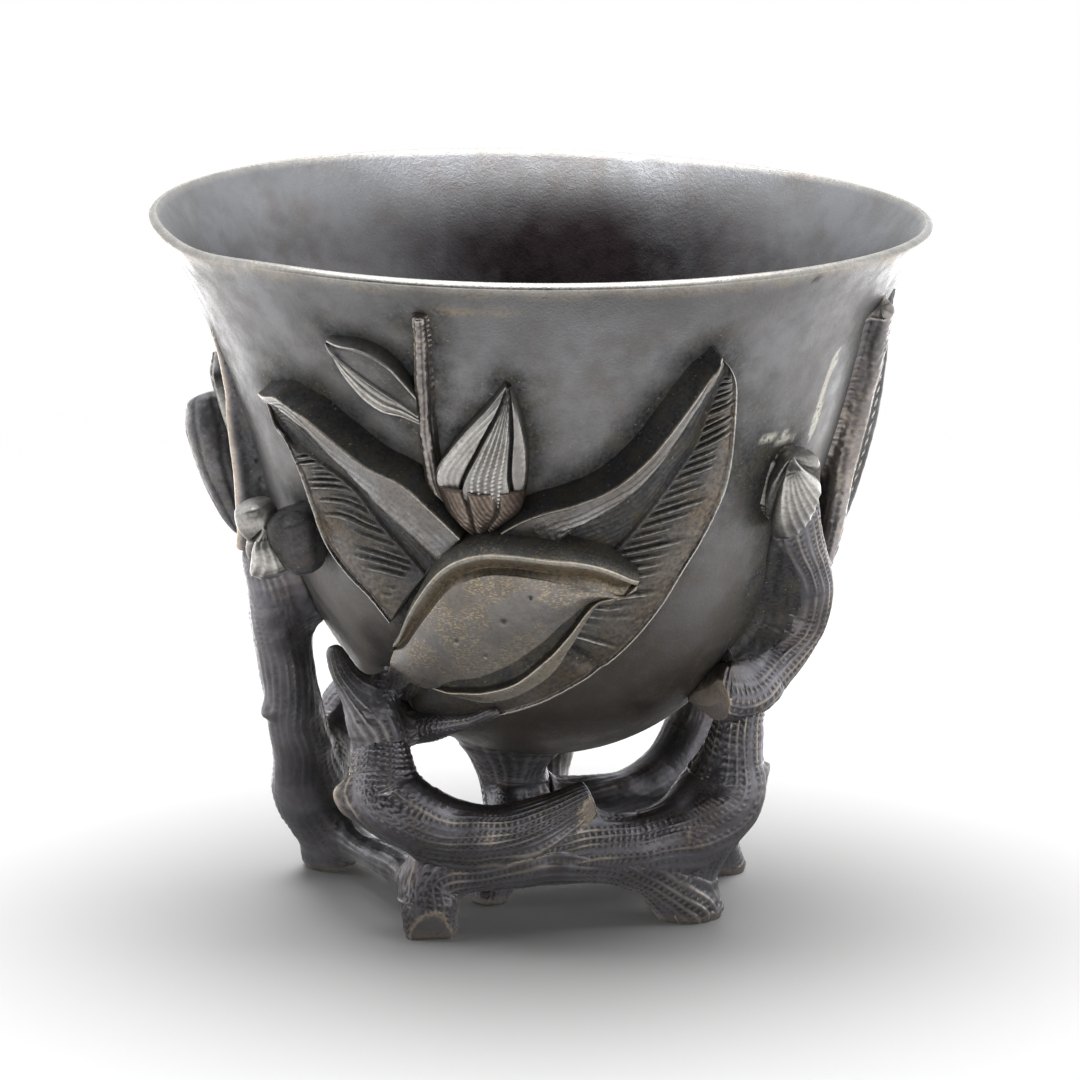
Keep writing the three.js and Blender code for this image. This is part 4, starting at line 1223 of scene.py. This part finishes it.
ROUTES = {
    "front_branch": (9.6, [
        [-0.411, -0.379, 1.12, 0.5], [-0.406, -0.385, 1.075, 0.7], [-0.402, -0.4, 1.03, 0.84],
        [-0.393, -0.42, 0.965, 0.95], [-0.36, -0.435, 0.88, 1.0], [-0.3, -0.436, 0.795, 0.92],
        [-0.215, -0.425, 0.735, 0.76], [-0.1, -0.4, 0.72, 0.63], [0.018, -0.368, 0.795, 0.5],
        [0.126, -0.345, 0.915, 0.36],
    ]),
    "right_branch": (9.6, [
        [0.54, -0.235, 1.146, 0.42], [0.512, -0.24, 1.1, 0.62], [0.492, -0.238, 1.03, 0.8],
        [0.476, -0.232, 0.88, 0.94], [0.385, -0.253, 0.65, 0.86], [0.254, -0.284, 0.575, 0.7],
        [0.126, -0.316, 0.595, 0.56], [-0.002, -0.358, 0.545, 0.36],
    ]),
    "front_right_foot": (7.4, [
        [0.43, -0.242, 0.78, 1], [0.405, -0.221, 0.485, 0.9], [0.375, -0.202, 0.235, 0.92],
        [0.386, -0.198, BELOW_GROUND, 0.95],
    ]),
    "front_root": (7, [
        [-0.284, -0.392, BELOW_GROUND, 1], [-0.284, -0.392, 0.205, 1], [-0.258, -0.379, 0.385, 0.86],
        [-0.054, -0.337, 0.42, 0.72], [0.14, -0.3, 0.42, 0.72], [0.25, -0.268, 0.35, 0.72],
        [0.325, -0.235, 0.22, 0.78], [0.37, -0.212, 0.09, 0.8], [0.385, -0.2, BELOW_GROUND, 0.8],
    ]),
    "left_branch": (8, [
        [-0.562, 0.285, BELOW_GROUND, 0.86], [-0.56, 0.253, 0.26, 1], [-0.62, 0.189, 0.575, 1],
        [-0.628, 0.105, 0.975, 0.95], [-0.652, 0.042, 1.1, 0.92], [-0.67, 0, 1.204, 0.92],
        [-0.684, -0.063, 1.31, 0.9], [-0.722, -0.11, 1.4, 0.65],
    ]),
    "left_root": (5, [
        [-0.55, 0.25, 0.3, 1], [-0.518, 0.232, 0.275, 1], [-0.448, 0.042, 0.27, 0.92],
        [-0.364, -0.168, 0.315, 1], [-0.298, -0.337, 0.33, 1],
    ]),
    "trunk": (8, [
        [-0.08, 0, 1.03, 1.35], [-0.085, 0, 0.77, 0.88], [-0.09, -0.042, 0.46, 0.78],
        [-0.14, -0.075, BELOW_GROUND, 0.55],
    ]),
    "back_right_branch": (7, [
        [0.41, 0.24, 1.16, 0.9], [0.42, 0.253, 1.063, 0.9], [0.394, 0.253, 0.945, 1],
        [0.328, 0.211, 0.7, 1], [0.208, 0.126, 0.585, 0.9], [0, 0.042, 0.6, 0.8],
    ]),
    "right_root": (6, [
        [0.487, 0.235, BELOW_GROUND, 0.95], [0.465, 0.19, 0.2, 0.9], [0.43, 0.08, 0.42, 0.9],
        [0.45, -0.09, 0.68, 0.9], [0.465, -0.2, 0.8, 0.9],
    ]),
    "back_left_branch": (7, [
        [-0.6, 0.2, 0.6, 0.9], [-0.55, 0.274, 0.95, 0.95], [-0.46, 0.305, 1.07, 0.9],
        [-0.34, 0.29, 1.13, 0.95],
    ]),
    "rear_root": (6, [
        [-0.02, 0.02, 0.3, 0.9], [-0.03, 0.22, 0.42, 0.9], [-0.04, 0.42, 0.3, 1],
        [-0.04, 0.475, BELOW_GROUND, 1],
    ]),
    "rear_branch": (7, [
        [-0.04, 0.4, 0.3, 0.9], [0.02, 0.47, 0.7, 0.95], [0.06, 0.49, 1.06, 0.85],
        [0.04, 0.53, 1.2, 0.7], [0, 0.62, 1.33, 0.45],
    ]),
    "front_stub": (7.8, [
        [-0.405, -0.379, 1.058, 0.94], [-0.412, -0.379, 1.085, 0.9], [-0.42, -0.379, 1.115, 0.82],
        [-0.443, -0.378, 1.15, 0.66], [-0.474, -0.374, 1.18, 0.52], [-0.5, -0.367, 1.207, 0.42],
        [-0.518, -0.362, 1.235, 0.33], [-0.528, -0.36, 1.256, 0.24],
    ]),
    "front_stub_arm": (7.8, [
        [-0.425, -0.379, 1.125, 0.66], [-0.418, -0.38, 1.15, 0.56], [-0.404, -0.38, 1.167, 0.45],
        [-0.386, -0.378, 1.178, 0.36], [-0.363, -0.375, 1.184, 0.28],
    ]),
    "right_upper_branch": (9.4, [
        [0.418, -0.303, 1.16, 0.42], [0.45, -0.288, 1.146, 0.56], [0.493, -0.264, 1.14, 0.63],
        [0.54, -0.235, 1.148, 0.6], [0.584, -0.2, 1.174, 0.5], [0.626, -0.18, 1.203, 0.45],
        [0.665, -0.17, 1.24, 0.44], [0.692, -0.175, 1.285, 0.43], [0.702, -0.2, 1.342, 0.41],
        [0.689, -0.26, 1.399, 0.42], [0.662, -0.31, 1.453, 0.42], [0.64, -0.345, 1.52, 0.35],
    ]),
    "right_branch_web": (4.6, [
        [0.466, -0.246, 1.166, 0.5], [0.488, -0.228, 1.17, 0.9], [0.53, -0.19, 1.185, 1.1],
        [0.57, -0.16, 1.22, 1.1], [0.603, -0.15, 1.26, 1.08], [0.622, -0.165, 1.31, 1.0],
        [0.63, -0.23, 1.374, 0.85], [0.634, -0.29, 1.435, 0.62], [0.636, -0.34, 1.5, 0.4],
    ]),
    "left_twig": (3, [
        [-0.735, -0.12, 1.4, 1.5], [-0.745, -0.147, 1.53, 1.3], [-0.765, -0.168, 1.646, 1.15],
        [-0.782, -0.168, 1.739, 0.95], [-0.812, -0.168, 1.825, 0.7],
    ]),
    "right_twig": (3, [
        [0.853, -0.305, 1.872, 1.2], [0.835, -0.2, 1.784, 1.3], [0.812, -0.13, 1.702, 1.38],
        [0.792, -0.095, 1.624, 1.38], [0.77, -0.09, 1.551, 1.25], [0.753, -0.1, 1.48, 1.15],
        [0.735, -0.13, 1.411, 0.95], [0.715, -0.18, 1.36, 0.75],
    ]),
}
WALL_ROUTES = {
    "front_twig": (1.8, [
        [-18, 1.945, 0.8], [-18.5, 1.9, 0.85], [-19.5, 1.817, 0.9], [-20, 1.74, 1], [-20, 1.677, 1],
        [-19.5, 1.61, 1], [-15, 1.565, 1],
    ]),
    "back_twig": (1.8, [
        [168, 1.89, 0.8], [171, 1.75, 0.9], [175, 1.6, 1], [179, 1.5, 1.1], [180, 1.37, 1.2],
    ]),
    "front_leaf_root": (3.6, [
        [-50, 1.118, 1.6], [-43, 1.12, 1.3], [-36, 1.126, 1.0], [-29, 1.136, 0.75], [-21, 1.15, 0.55],
        [-12, 1.178, 0.4],
    ]),
    "back_right_twig": (3, [
        [114, 1.13, 1.3], [117, 1.25, 1.1], [121, 1.4, 1], [126, 1.55, 0.9], [128, 1.64, 0.8],
    ]),
}
limbs = {name: Limb(stand_route(rows), size) for name, (size, rows) in ROUTES.items()}
limbs.update({name: Limb(wall_route(rows, size), size) for name, (size, rows) in WALL_ROUTES.items()})

# What each branch melts into
MEETS = {
    "front_branch": ["right_branch", "front_root"],
    "right_branch": ["front_branch", "front_root", "front_right_foot", "right_root"],
    "front_right_foot": ["right_branch", "front_root", "right_root"],
    "front_root": ["front_branch", "right_branch", "front_right_foot", "left_root"],
    "left_branch": ["left_root", "back_left_branch"], "left_root": ["left_branch", "front_root"],
    "trunk": ["back_right_branch", "rear_root"], "back_right_branch": ["trunk"],
    "right_root": ["right_branch", "front_right_foot"], "back_left_branch": ["left_branch"],
    "rear_root": ["trunk", "rear_branch"], "rear_branch": ["rear_root"],
    "front_stub": ["front_stub_arm", "front_leaf_root"], "front_stub_arm": ["front_stub"],
    "front_leaf_root": ["front_stub", "front_stub_arm"], "right_upper_branch": ["right_branch_web"],
    "right_branch_web": ["right_upper_branch"], "left_twig": ["left_branch"],
    "right_twig": ["right_upper_branch"], "front_twig": [], "back_twig": ["rear_branch"],
    "back_right_twig": [],
}
# Rows and columns where they aren't the usual
SIZES = {
    "front_branch": (290, 190), "right_branch": (290, 190), "front_right_foot": (120, 190),
    "front_root": (270, 150), "left_branch": (220, 130), "front_stub": (190, 170),
    "front_stub_arm": (90, 110), "front_leaf_root": (180, 84), "right_upper_branch": (320, 130),
    "right_branch_web": (160, 84), "trunk": (150, 150), "front_twig": (260, 48),
    "right_twig": (300, 60), "left_twig": (220, 60), "back_twig": (200, 44),
    "back_right_twig": (220, 60),
}
# Share along, degrees round, height and size
KNOTS = {
    "front_branch": [(0.23, 268, 2.2, 1.3), (0.62, 200, 0.35, 1.2)],
    "right_branch": [(0.26, 80, 0.7, 1.0)],
    "left_branch": [(0.55, 125, 1.3, 1.3), (0.42, 250, 0.5, 1.3)],
    "right_upper_branch": [(0.42, 90, 0.6, 0.7), (0.5, 95, 0.5, 0.6)],
    "trunk": [(0.3, 180, 0.6, 1.5), (0.5, 120, -0.4, 1.2)],
}
# Which end stands on the ground
SOLES = {
    "front_root": "both", "front_right_foot": "last", "left_branch": "first", "trunk": "last",
    "right_root": "first", "rear_root": "last",
}
# Point, normal and shine of each cut face
CUTS = {
    "front_root": [((-14.2, -21.3, 1.9), (0.1, -0.92, -0.38), 0.12)],
    "front_branch": [((5.0, -18.9, 16.6), (0.62, -0.77, -0.16), 0.35)],
    "right_upper_branch": [((21.9, -14.25, 30.55), (-0.68, -0.73, -0.1), 0.85)],
}
# Limbs that don't melt into the bowl, the fillets of the stub and its arms, and how far the web
# reaches out
OFF_THE_BOWL = {"front_branch", "right_branch", "front_root", "left_root"}
CLOSE_MELT = {"front_stub": 3, "front_stub_arm": 3, "front_leaf_root": 2}
FAR_MELT = {"right_branch_web": 3.2}
# Bark other than the usual
BARKS = {
    "left_branch": {"ridge": 0.1, "gilt": 0.35},
    "left_root": {"ridge": 0.08, "gilt": 0.3},
    "trunk": {"ridge": 0.12, "gilt": 0.5},
    "right_root": {"ridge": 0.14, "gilt": 0.5},
    # The web is painted dark: painted shade in the hollow between the right branch and the bowl
    "right_branch_web": {"ridge": 0.03, "bead": 0.02, "lumps": 0.25, "gilt": 0.0, "dark": 0.75},
    "front_stub": {"ridge": 0.08, "bead": 0.12, "lumps": 0.2, "gilt": 0.5, "dark": 0.25},
    "front_stub_arm": {"ridge": 0.08, "bead": 0.12, "lumps": 0.2, "gilt": 0.5, "dark": 0.25},
    "front_leaf_root": {"ridge": 0.08, "bead": 0.12, "lumps": 0.2, "gilt": 0.5, "dark": 0.2},
}
TWIGS = {"front_twig", "back_twig", "right_twig", "left_twig", "back_right_twig"}
BLADE_EDGE = 125


def twig_skin(seed):
    """A twig's skin: shallow uneven rings across it, five lengthwise furrows and fine grain."""

    def surface(turn, run, radius, tube):
        rings = crests(2 * np.pi * (run / 0.85 + 0.9 * noise(tube, 1.8, seed)))
        patchy = step(noise(tube, 4, seed + 3), -0.5, 0.5)
        lines = bell((turn / (2 * np.pi) * 5 + 0.3 * noise(tube, 6, seed + 4)) % 1 - 0.5, 0.16)
        grit = noise(tube, GRIT, seed + 1)
        pebbles = step(noise(tube * [1, 1, 0.8], 0.55, seed + 5), -0.2, 0.5)
        height = 0.02 * rings * patchy - 0.12 * lines + 0.05 * grit + 0.05 * pebbles
        height = height + 0.12 * noise(tube, 3, seed + 2)
        return height, 0.25 + 0.3 * pebbles + 0.1 * rings * patchy, 0.6 * lines

    return surface


def blade_skin(seed, edge):
    """A flattened twig with one sharp bright edge at that angle and faces painted dark as shade."""

    def surface(turn, run, radius, tube):
        off = turned_from(turn, edge)
        height = radius * (0.16 * np.cos(3 * off) - 0.1) + 0.12 * noise(tube, 3, seed)
        height = height + 0.03 * noise(tube, 0.6, seed + 1)
        return height, 0.95 * bell(off, 0.3), 0.8 * (1 - bell(off, 0.5))

    return surface


for number, (name, limb) in enumerate(limbs.items()):
    others = [limbs[other].gap for other in MEETS[name]]
    if name not in OFF_THE_BOWL:
        others = [bowl_distance] + others
    if name == "left_twig":
        skin = blade_skin(number * 10 + 200, BLADE_EDGE)
    elif name in TWIGS:
        skin = twig_skin(number * 10 + 200)
    else:
        skin = bark(number * 10 + 100, knots=KNOTS.get(name, ()), **BARKS.get(name, {}))
    limb_piece(
        name, limb, skin, branch_finish, others, SIZES.get(name, LIMB_SIZE),
        reach=TWIG_FILLET if name in TWIGS else CLOSE_MELT.get(name, FILLET), sole=SOLES.get(name),
        cuts=CUTS.get(name, ()), blunt=STUB_BLUNT if name in CLOSE_MELT else BLUNT,
        limit=FAR_MELT.get(name, MELT_LIMIT),
    )


def bud_limb(angle, level, tilt, length, width_share, lift_share, shape):
    """A short upright route for a round bud that leans on the bowl."""
    foot, tip = over(angle, level), over(angle, level, 1)
    out = unit(tip - foot)
    up = np.array([0.0, 0.0, 1.0])
    up = unit(up - out * up.dot(out))
    side = np.cross(up, out)
    up = up * math.cos(math.radians(tilt)) + side * -math.sin(math.radians(tilt))
    centre = foot + out * length * lift_share
    t = np.linspace(0.5, -0.5, len(shape))[:, None]
    return Limb(np.column_stack([centre + up * t * length, np.array(shape) * width_share]), length)


PETAL_HEIGHT = 0.4


def fan_skin(seed, pivot, middle, spread, count, rest=0.65):
    """A bud's skin: a petal like a folding fan raised over a globe. Its ribs run out from a
    pivot (share along, degrees round); it is centred on a way given in degrees from straight down
    the bud and spread to both sides, with a dark slot beside it. Rest is how grimy the plain globe
    under it is."""

    def surface(turn, run, radius, tube):
        side = turned_from(turn, pivot[1])
        x, y = side * radius, run - pivot[0] * run.max()
        way = np.degrees(np.arctan2(x, y))
        off = wrapped(way - middle)
        reach_out = np.hypot(x, y)
        petal = step(spread - np.abs(off), 0, 9) * step(np.pi * 0.62 - np.abs(side), 0, 0.25)
        ribs = crests(2 * np.pi * off / (2 * spread) * count) * petal * step(reach_out, 0.4, 1.2)
        slot = 1.4 * bell(np.abs(off) - spread - 5, 5) * step(reach_out, 0.3, 0.8) * (np.abs(side) < 2)
        rim = petal * (1 - step(spread - np.abs(off), 5, 22))
        height = PETAL_HEIGHT * petal + 0.13 * ribs - 0.5 * slot + 0.1 * rim + 0.07 * noise(tube, 1.4, seed)
        plain = 1 - petal
        wear = 0.35 * petal + 0.4 * ribs + 0.6 * rim + 0.9 * (0.65 - rest) * plain
        return height, wear, 0.95 * slot + rest * plain

    return surface


def globe_skin(seed, folds, dark=0.7):
    """A dark round bud with shallow folds that run from end to end."""

    def surface(turn, run, radius, tube):
        lines = bell((turn / (2 * np.pi) * folds + 0.25 * noise(tube, 5, seed)) % 1 - 0.5, 0.14)
        height = 0.09 * noise(tube, 2, seed + 1) - 0.18 * lines + 0.03 * noise(tube, 0.6, seed + 2)
        return height, 0.1 * (1 - lines), dark + 0.4 * lines

    return surface


# Angle, level, tilt, length, width and lift shares of each round bud, and its section along it
BUDS = {
    "left_bud": (-54.6, 1.475, 0, 8.6, 0.84, 0.3, [0.5, 0.8, 0.95, 1.0, 1.0, 0.95, 0.88, 0.75, 0.6, 0.4]),
    "left_bud_petals": (-60.5, 1.487, 6, 10.2, 0.54, 0.5,
                        [0.45, 0.85, 1.0, 0.9, 0.7, 0.85, 1.05, 1.05, 0.8, 0.4]),
    "left_rear_bud": (-99, 1.54, 12, 19, 0.46, 0.25, [0.5, 0.85, 1.0, 1.0, 0.97, 0.9, 0.8, 0.68, 0.5, 0.3]),
    "right_bud": (53.2, 1.564, 2, 12.2, 0.52, 0.17, [0.5, 0.78, 0.95, 1.04, 1.05, 1.0, 0.9, 0.72, 0.5, 0.3]),
    "back_right_bud": (129, 1.7, -8, 12.4, 0.56, 0.17,
                       [0.08, 0.42, 0.72, 0.92, 1.0, 1.0, 0.92, 0.75, 0.5, 0.25]),
}
# Skin, material, rows and columns, fillet and blunt
BUD_SKINS = {
    "left_bud": (globe_skin(301, 4), branch_finish, (100, 110), 0.5, 1),
    "left_bud_petals": (fan_skin(303, (0.3, 165), 4, 40, 6, rest=0.1), bud_finish, (130, 120), 0.4, 0.8),
    "left_rear_bud": (globe_skin(305, 9, 0.55), branch_finish, (130, 110), 0.6, 1),
    "right_bud": (fan_skin(307, (0.02, 208), -30, 34, 9, rest=0.2), bud_finish, (130, 150), 0.5, 1),
    "back_right_bud": (fan_skin(309, (0.02, 165), -18, 26, 9), bud_finish, (110, 110), 0.5, 1),
}
for name, (skin, finish, size, reach, blunt) in BUD_SKINS.items():
    limb_piece(name, bud_limb(*BUDS[name]), skin, finish, [bowl_distance], size, reach, blunt)


# Bowl

BOWL_COLUMNS = 480
BOWL_ROWS = 96
FIRST_ROW = 0.0004
ROW_CROWDING = 1.15
LIP_ROWS = 11
SETTLE_POWER = 8
SETTLE_DEPTH = 1.05 * LIP_CROWN
OUTSIDE_LOWER = 0.02
INSIDE_HAMMERED = 0.8
CHUNK = 1000
FAR = 99.0

# Patina and painted shade round the pieces: reach and power of a dark halo and of a wide faint one
HALO = (1.9, 1.3)
WIDE_HALO = (5.6, 1.5)
WIDE_SHARE = 0.38

# The dark brown inside, a brown tone all round with painted shade strongest on the back wall: its
# strength, the levels over which it ends, its middle and half width in degrees, and how much of it
# there is all round and at its middle
BROWN_AND_SHADE = 1.6
BROWN_AND_SHADE_TO = (0.825, 0.985)
BROWN_AND_SHADE_AT = 172
BROWN_AND_SHADE_WIDTH = 36
BROWN_AND_SHADE_SHARES = (0.25, 0.7)

# Dark marks on the outside: a small dark dot by the rim, two dark spots low on the right, and
# painted shade beside the right bud and round the web of the right branch. Each has strength,
# angle, level and half sizes in millimetres
DIRT_AND_SHADE = [
    (1.3, 43, 1.99, 0.55, 0.5), (0.6, 74, 1.225, 4, 3), (0.35, 56, 1.2, 4, 3), (0.7, 43, 1.635, 4, 7),
    (0.9, 64, 1.43, 4, 8), (0.6, 58, 1.33, 6, 6),
]
PALE_CRUST = [
    (1, 46, 1.672, 1.3, 0.45), (1, 51, 1.662, 2.0, 0.55), (1, 60.6, 1.79, 0.7, 1.6),
    (1, 60.3, 1.74, 0.6, 1.8), (1, 60.7, 1.678, 0.85, 2.7),
]
SCRATCHES = [(1, -13, 1.955, 3, 0.5), (1, -6, 1.957, 2.5, 0.4)]


def nearest(points, targets):
    """Distance from each point to the nearest of the targets."""
    best = np.full(len(points), 1e9)
    sizes = (targets**2).sum(1)
    for k in range(0, len(points), CHUNK):
        part = points[k : k + CHUNK]
        square = (part**2).sum(1)[:, None] + sizes - 2 * part @ targets.T
        best[k : k + CHUNK] = square.min(1)
    return np.sqrt(np.maximum(best, 0))


h_out = np.linspace(FIRST_ROW, 1, BOWL_ROWS) ** ROW_CROWDING
h_in = h_out[::-1]
arc = np.linspace(0, math.pi, LIP_ROWS)[1:-1]
turn_grid = np.broadcast_to(np.arange(BOWL_COLUMNS) * 360 / BOWL_COLUMNS, (BOWL_ROWS, BOWL_COLUMNS))
wide_angle = wrapped(turn_grid)


def wall_points(h, depth):
    """Rings of the bowl at shares h of its height, set in by a depth."""
    h = h[:, None] + 0 * turn_grid
    return over(turn_grid, 1 + h, -(depth[:, None] + 0 * h))


def by_ring(outside, lip, inside):
    """One number for each ring of the bowl, from those of its outside, lip and inside."""
    parts = (outside, BOWL_ROWS), (lip, len(arc)), (inside, BOWL_ROWS)
    return np.concatenate([np.broadcast_to(value, count) for value, count in parts])[:, None]


hammer = HAMMERED * step(h_out, 0.02, 0.2) * (1 - step(h_out, 0.93, 0.99))
outer = wall_points(h_out, 0 * h_out)
outer_normal = unit(wall_points(h_out, 0 * h_out - 1) - outer)
outer = outer + outer_normal * (noise(outer, 11, 401) * hammer[:, None] - OUTSIDE_LOWER)[..., None]
inner = wall_points(h_in, LIP + (WALL - LIP) * (1 - h_in))
inner = inner + outer_normal[::-1] * (noise(inner, 12, 402) * hammer[::-1, None] * INSIDE_HAMMERED)[..., None]
middle, half = (outer[-1] + inner[0]) / 2, (outer[-1] - inner[0]) / 2
upward = unit(outer[-1] - outer[-2])
lip = np.stack([middle + half * math.cos(a) + upward * LIP_CROWN * math.sin(a) for a in arc])
settle = by_ring(h_out**SETTLE_POWER, 1, h_in**SETTLE_POWER)
body = np.concatenate([outer, lip, inner]) - settle[..., None] * np.array([0, 0, SETTLE_DEPTH])


def mark(angle, level, wide, tall):
    """A soft spot on the outside of the bowl, with its half sizes in millimetres."""
    across = (np.radians(wide_angle) - math.radians(angle)) * RIM_WIDTH / 2 * radius_share(h_out)[:, None]
    up = (h_out[:, None] + 1 - level) * BOWL_HEIGHT
    spot = np.zeros(body.shape[:2])
    spot[:BOWL_ROWS] = np.exp(-((across / wide) ** 2) - (up / tall) ** 2)
    return spot


def marks(table):
    """The marks of a table laid over one another."""
    return sum(strength * mark(*spot) for strength, *spot in table)


# Painted shade round the applied pieces, with patina at their edges, by distance from where they meet the
# bowl
gap = np.full(body.shape[:2], FAR)
gap[:BOWL_ROWS] = nearest(body[:BOWL_ROWS].reshape(-1, 3), np.concatenate(seats)).reshape(BOWL_ROWS, -1)
patina_and_shade_halo = np.exp(-((gap / HALO[0]) ** HALO[1])) + WIDE_SHARE * np.exp(-((gap / WIDE_HALO[0]) ** WIDE_HALO[1]))
halo_unevenness = 0.75 + 0.35 * noise(body, 2.5, 411) + 0.2 * noise(body, 0.9, 412)
# Painted shade on the bottom of the bowl's outside, where it turns under
shade_under_bowl = by_ring(0.35 * (1 - step(h_out, 0.02, 0.2)), 0, 0)
crust = step(marks(PALE_CRUST) * (1 + 0.6 * noise(body, 0.7, 414)), 0.25, 0.6)
below_rim, below_inner_rim = (1 - h_out) * BOWL_HEIGHT, (1 - h_in) * BOWL_HEIGHT
lip_wear = by_ring(bell(below_rim, 0.5), 1, bell(below_inner_rim, 0.4))
line = by_ring(bell(below_rim - 1.1, 0.35), 0, 0)
wear = (lip_wear * 0.4 + line * 0.2) * (0.75 + 0.3 * noise(body, 1.5, 413))
gilt = 0.8 * marks(SCRATCHES) + 0.55 * line * step(noise(body, 4, 415), -0.4, 0.4)
all_round, at_middle = BROWN_AND_SHADE_SHARES
off_middle = wrapped(turn_grid[0] - BROWN_AND_SHADE_AT)
# Painted shade over a brown tone: the inside darkens most on its back wall
inside = by_ring(0, 0, BROWN_AND_SHADE * (1 - step(h_in, *BROWN_AND_SHADE_TO)))
inside = inside * (all_round + at_middle * bell(off_middle, BROWN_AND_SHADE_WIDTH))
browned_and_shaded = inside * (0.72 + 0.22 * noise(body, 8, 416) + 0.1 * noise(body, 1.5, 417))
grime = (patina_and_shade_halo * halo_unevenness + shade_under_bowl + marks(DIRT_AND_SHADE)) * (1 - 0.9 * np.clip(crust, 0, 1)) + 0.3 * browned_and_shaded
make("bowl", body, bowl_finish, wear, grime, gilt, crust, browned_and_shaded)

# Floor, light and camera. Metal sees a pale room with a dark part where the photographer stands,
# and a floor that glows for reflected rays, a painted reflection, dim near the cup as a painted
# shadow and brighter behind the cup. The eye sees white.
FLOOR = 3000
FLOOR_WHITE = 0.9
FLOOR_FADE = (110, 330)
# The floor's glow in reflections: dim near the cup as a painted shadow, brighter further out and behind
SHINE_FADE = (30, 125)
SHINE_NEAR = 0.22
SHINE_FRONT = 1.5
SHINE_BACK = 5.0
SHINE_TURN = (0.45, 0.95)
SHINE_TINT = (1.0, 0.99, 0.985)
DARK_SIDE = (-0.26, -0.966, 0)
DARK_WIDTH = (0.2, 0.8)
DARK_TOP = (0.68, 0.88)
ROOM_LIGHT = 1.35
ROOM_DARK = 0.0
ROOM_TINT = (0.96, 0.985, 1.01)
AMBIENT = 0.12
WHITE = (1, 1, 1)
# Name, place, target, size and power
LAMPS = [
    ("top_light", (0, 50, 520), (0, 0, 40), (460, 460), 4.0),
    ("left_light", (-480, 40, 280), (0, 0, 50), (260, 360), 0.2),
    ("right_light", (500, 120, 240), (0, 0, 50), (260, 360), 0.2),
]

floor_mesh = bpy.data.meshes.new("floor")
floor_corners = [(x * FLOOR * MM, y * FLOOR * MM, 0) for x, y in ((-1, -1), (1, -1), (1, 1), (-1, 1))]
floor_mesh.from_pydata(floor_corners, [], [(0, 1, 2, 3)])
floor = bpy.data.objects.new("floor", floor_mesh)
bpy.context.collection.objects.link(floor)
paper = Shade(bpy.data.materials.new("paper"))
paper.put(paper.shader.inputs["Base Color"], (FLOOR_WHITE, FLOOR_WHITE, FLOOR_WHITE, 1))
paper.shader.inputs["Roughness"].default_value = 1
paper.shader.inputs["Specular IOR Level"].default_value = 0
glow = paper.light("ShaderNodeEmission", WHITE, 1.0)
out_there = paper.length(paper.place)
far_away = paper.ramp(out_there, FLOOR_FADE[0] * MM, FLOOR_FADE[1] * MM)
seen = paper.either(far_away, paper.shader.outputs[0], glow)
backwards = paper.math("DIVIDE", paper.along(paper.place, (0, 1, 0)), paper.larger(out_there, MM))
# Painted reflection: for glossy rays the floor glows, dim near the cup as its painted shadow
shine = paper.times(
    paper.ramp(out_there, SHINE_FADE[0] * MM, SHINE_FADE[1] * MM, SHINE_NEAR, 1.0),
    paper.ramp(backwards, *SHINE_TURN, SHINE_FRONT, SHINE_BACK),
)
reflected = paper.light("ShaderNodeEmission", SHINE_TINT, shine)
is_glossy = paper.add("ShaderNodeLightPath", {}).outputs["Is Glossy Ray"]
surface = paper.either(is_glossy, seen, reflected)
paper.put(paper.tree.nodes["Material Output"].inputs["Surface"], surface)
floor_mesh.materials.append(paper.owner)

scene = bpy.context.scene
scene.view_settings.view_transform = "Standard"
world = bpy.data.worlds.new("studio")
scene.world = world
studio = Shade(world)
way = studio.coordinates["Generated"]
height_seen = studio.height(way)
dark = studio.times(
    studio.ramp(studio.along(way, DARK_SIDE), *DARK_WIDTH),
    studio.ramp(height_seen, *DARK_TOP, 1.0, 0.0),
)
room = studio.light("ShaderNodeBackground", ROOM_TINT, studio.ramp(dark, 0.0, 1.0, ROOM_LIGHT, ROOM_DARK))
ambient = studio.light("ShaderNodeBackground", WHITE, AMBIENT)
white = studio.light("ShaderNodeBackground", WHITE, 1.0)
rays = studio.add("ShaderNodeLightPath", {}).outputs
mirrored = studio.either(rays["Is Glossy Ray"], ambient, room)
sky = studio.either(rays["Is Camera Ray"], mirrored, white)
studio.put(studio.tree.nodes["World Output"].inputs["Surface"], sky)


def look(place, target):
    """The turn that points -Z from a place to a target, with +Y up."""
    return (Vector(target) - Vector(place)).to_track_quat("-Z", "Y")


def softbox(name, place, target, size, power):
    """A rectangular area light at a place in millimetres, turned to a target."""
    lamp = bpy.data.lights.new(name, "AREA")
    lamp.shape = "RECTANGLE"
    lamp.size, lamp.size_y = size[0] * MM, size[1] * MM
    lamp.energy = power
    holder = bpy.data.objects.new(name, lamp)
    start, end = (np.array(p, float) * MM for p in (place, target))
    holder.location = start
    holder.rotation_mode = "QUATERNION"
    holder.rotation_quaternion = look(start, end)
    bpy.context.collection.objects.link(holder)


for lamp in LAMPS:
    softbox(*lamp)

camera = bpy.data.objects.new("camera", bpy.data.cameras.new("camera"))
lift, aim = math.radians(CAMERA_ELEVATION), np.array(CAMERA_TARGET, float)
eye = aim + CAMERA_DISTANCE * np.array([0, -math.cos(lift), math.sin(lift)])
camera.location = eye * MM
camera.rotation_mode = "QUATERNION"
camera.rotation_quaternion = look(eye, aim)
camera.data.sensor_width = SENSOR
camera.data.lens = SENSOR * FOCAL_PIXELS / FRAME_PIXELS
camera.data.clip_start, camera.data.clip_end = CLIP[0] * MM, CLIP[1] * MM
bpy.context.collection.objects.link(camera)
scene.camera = camera
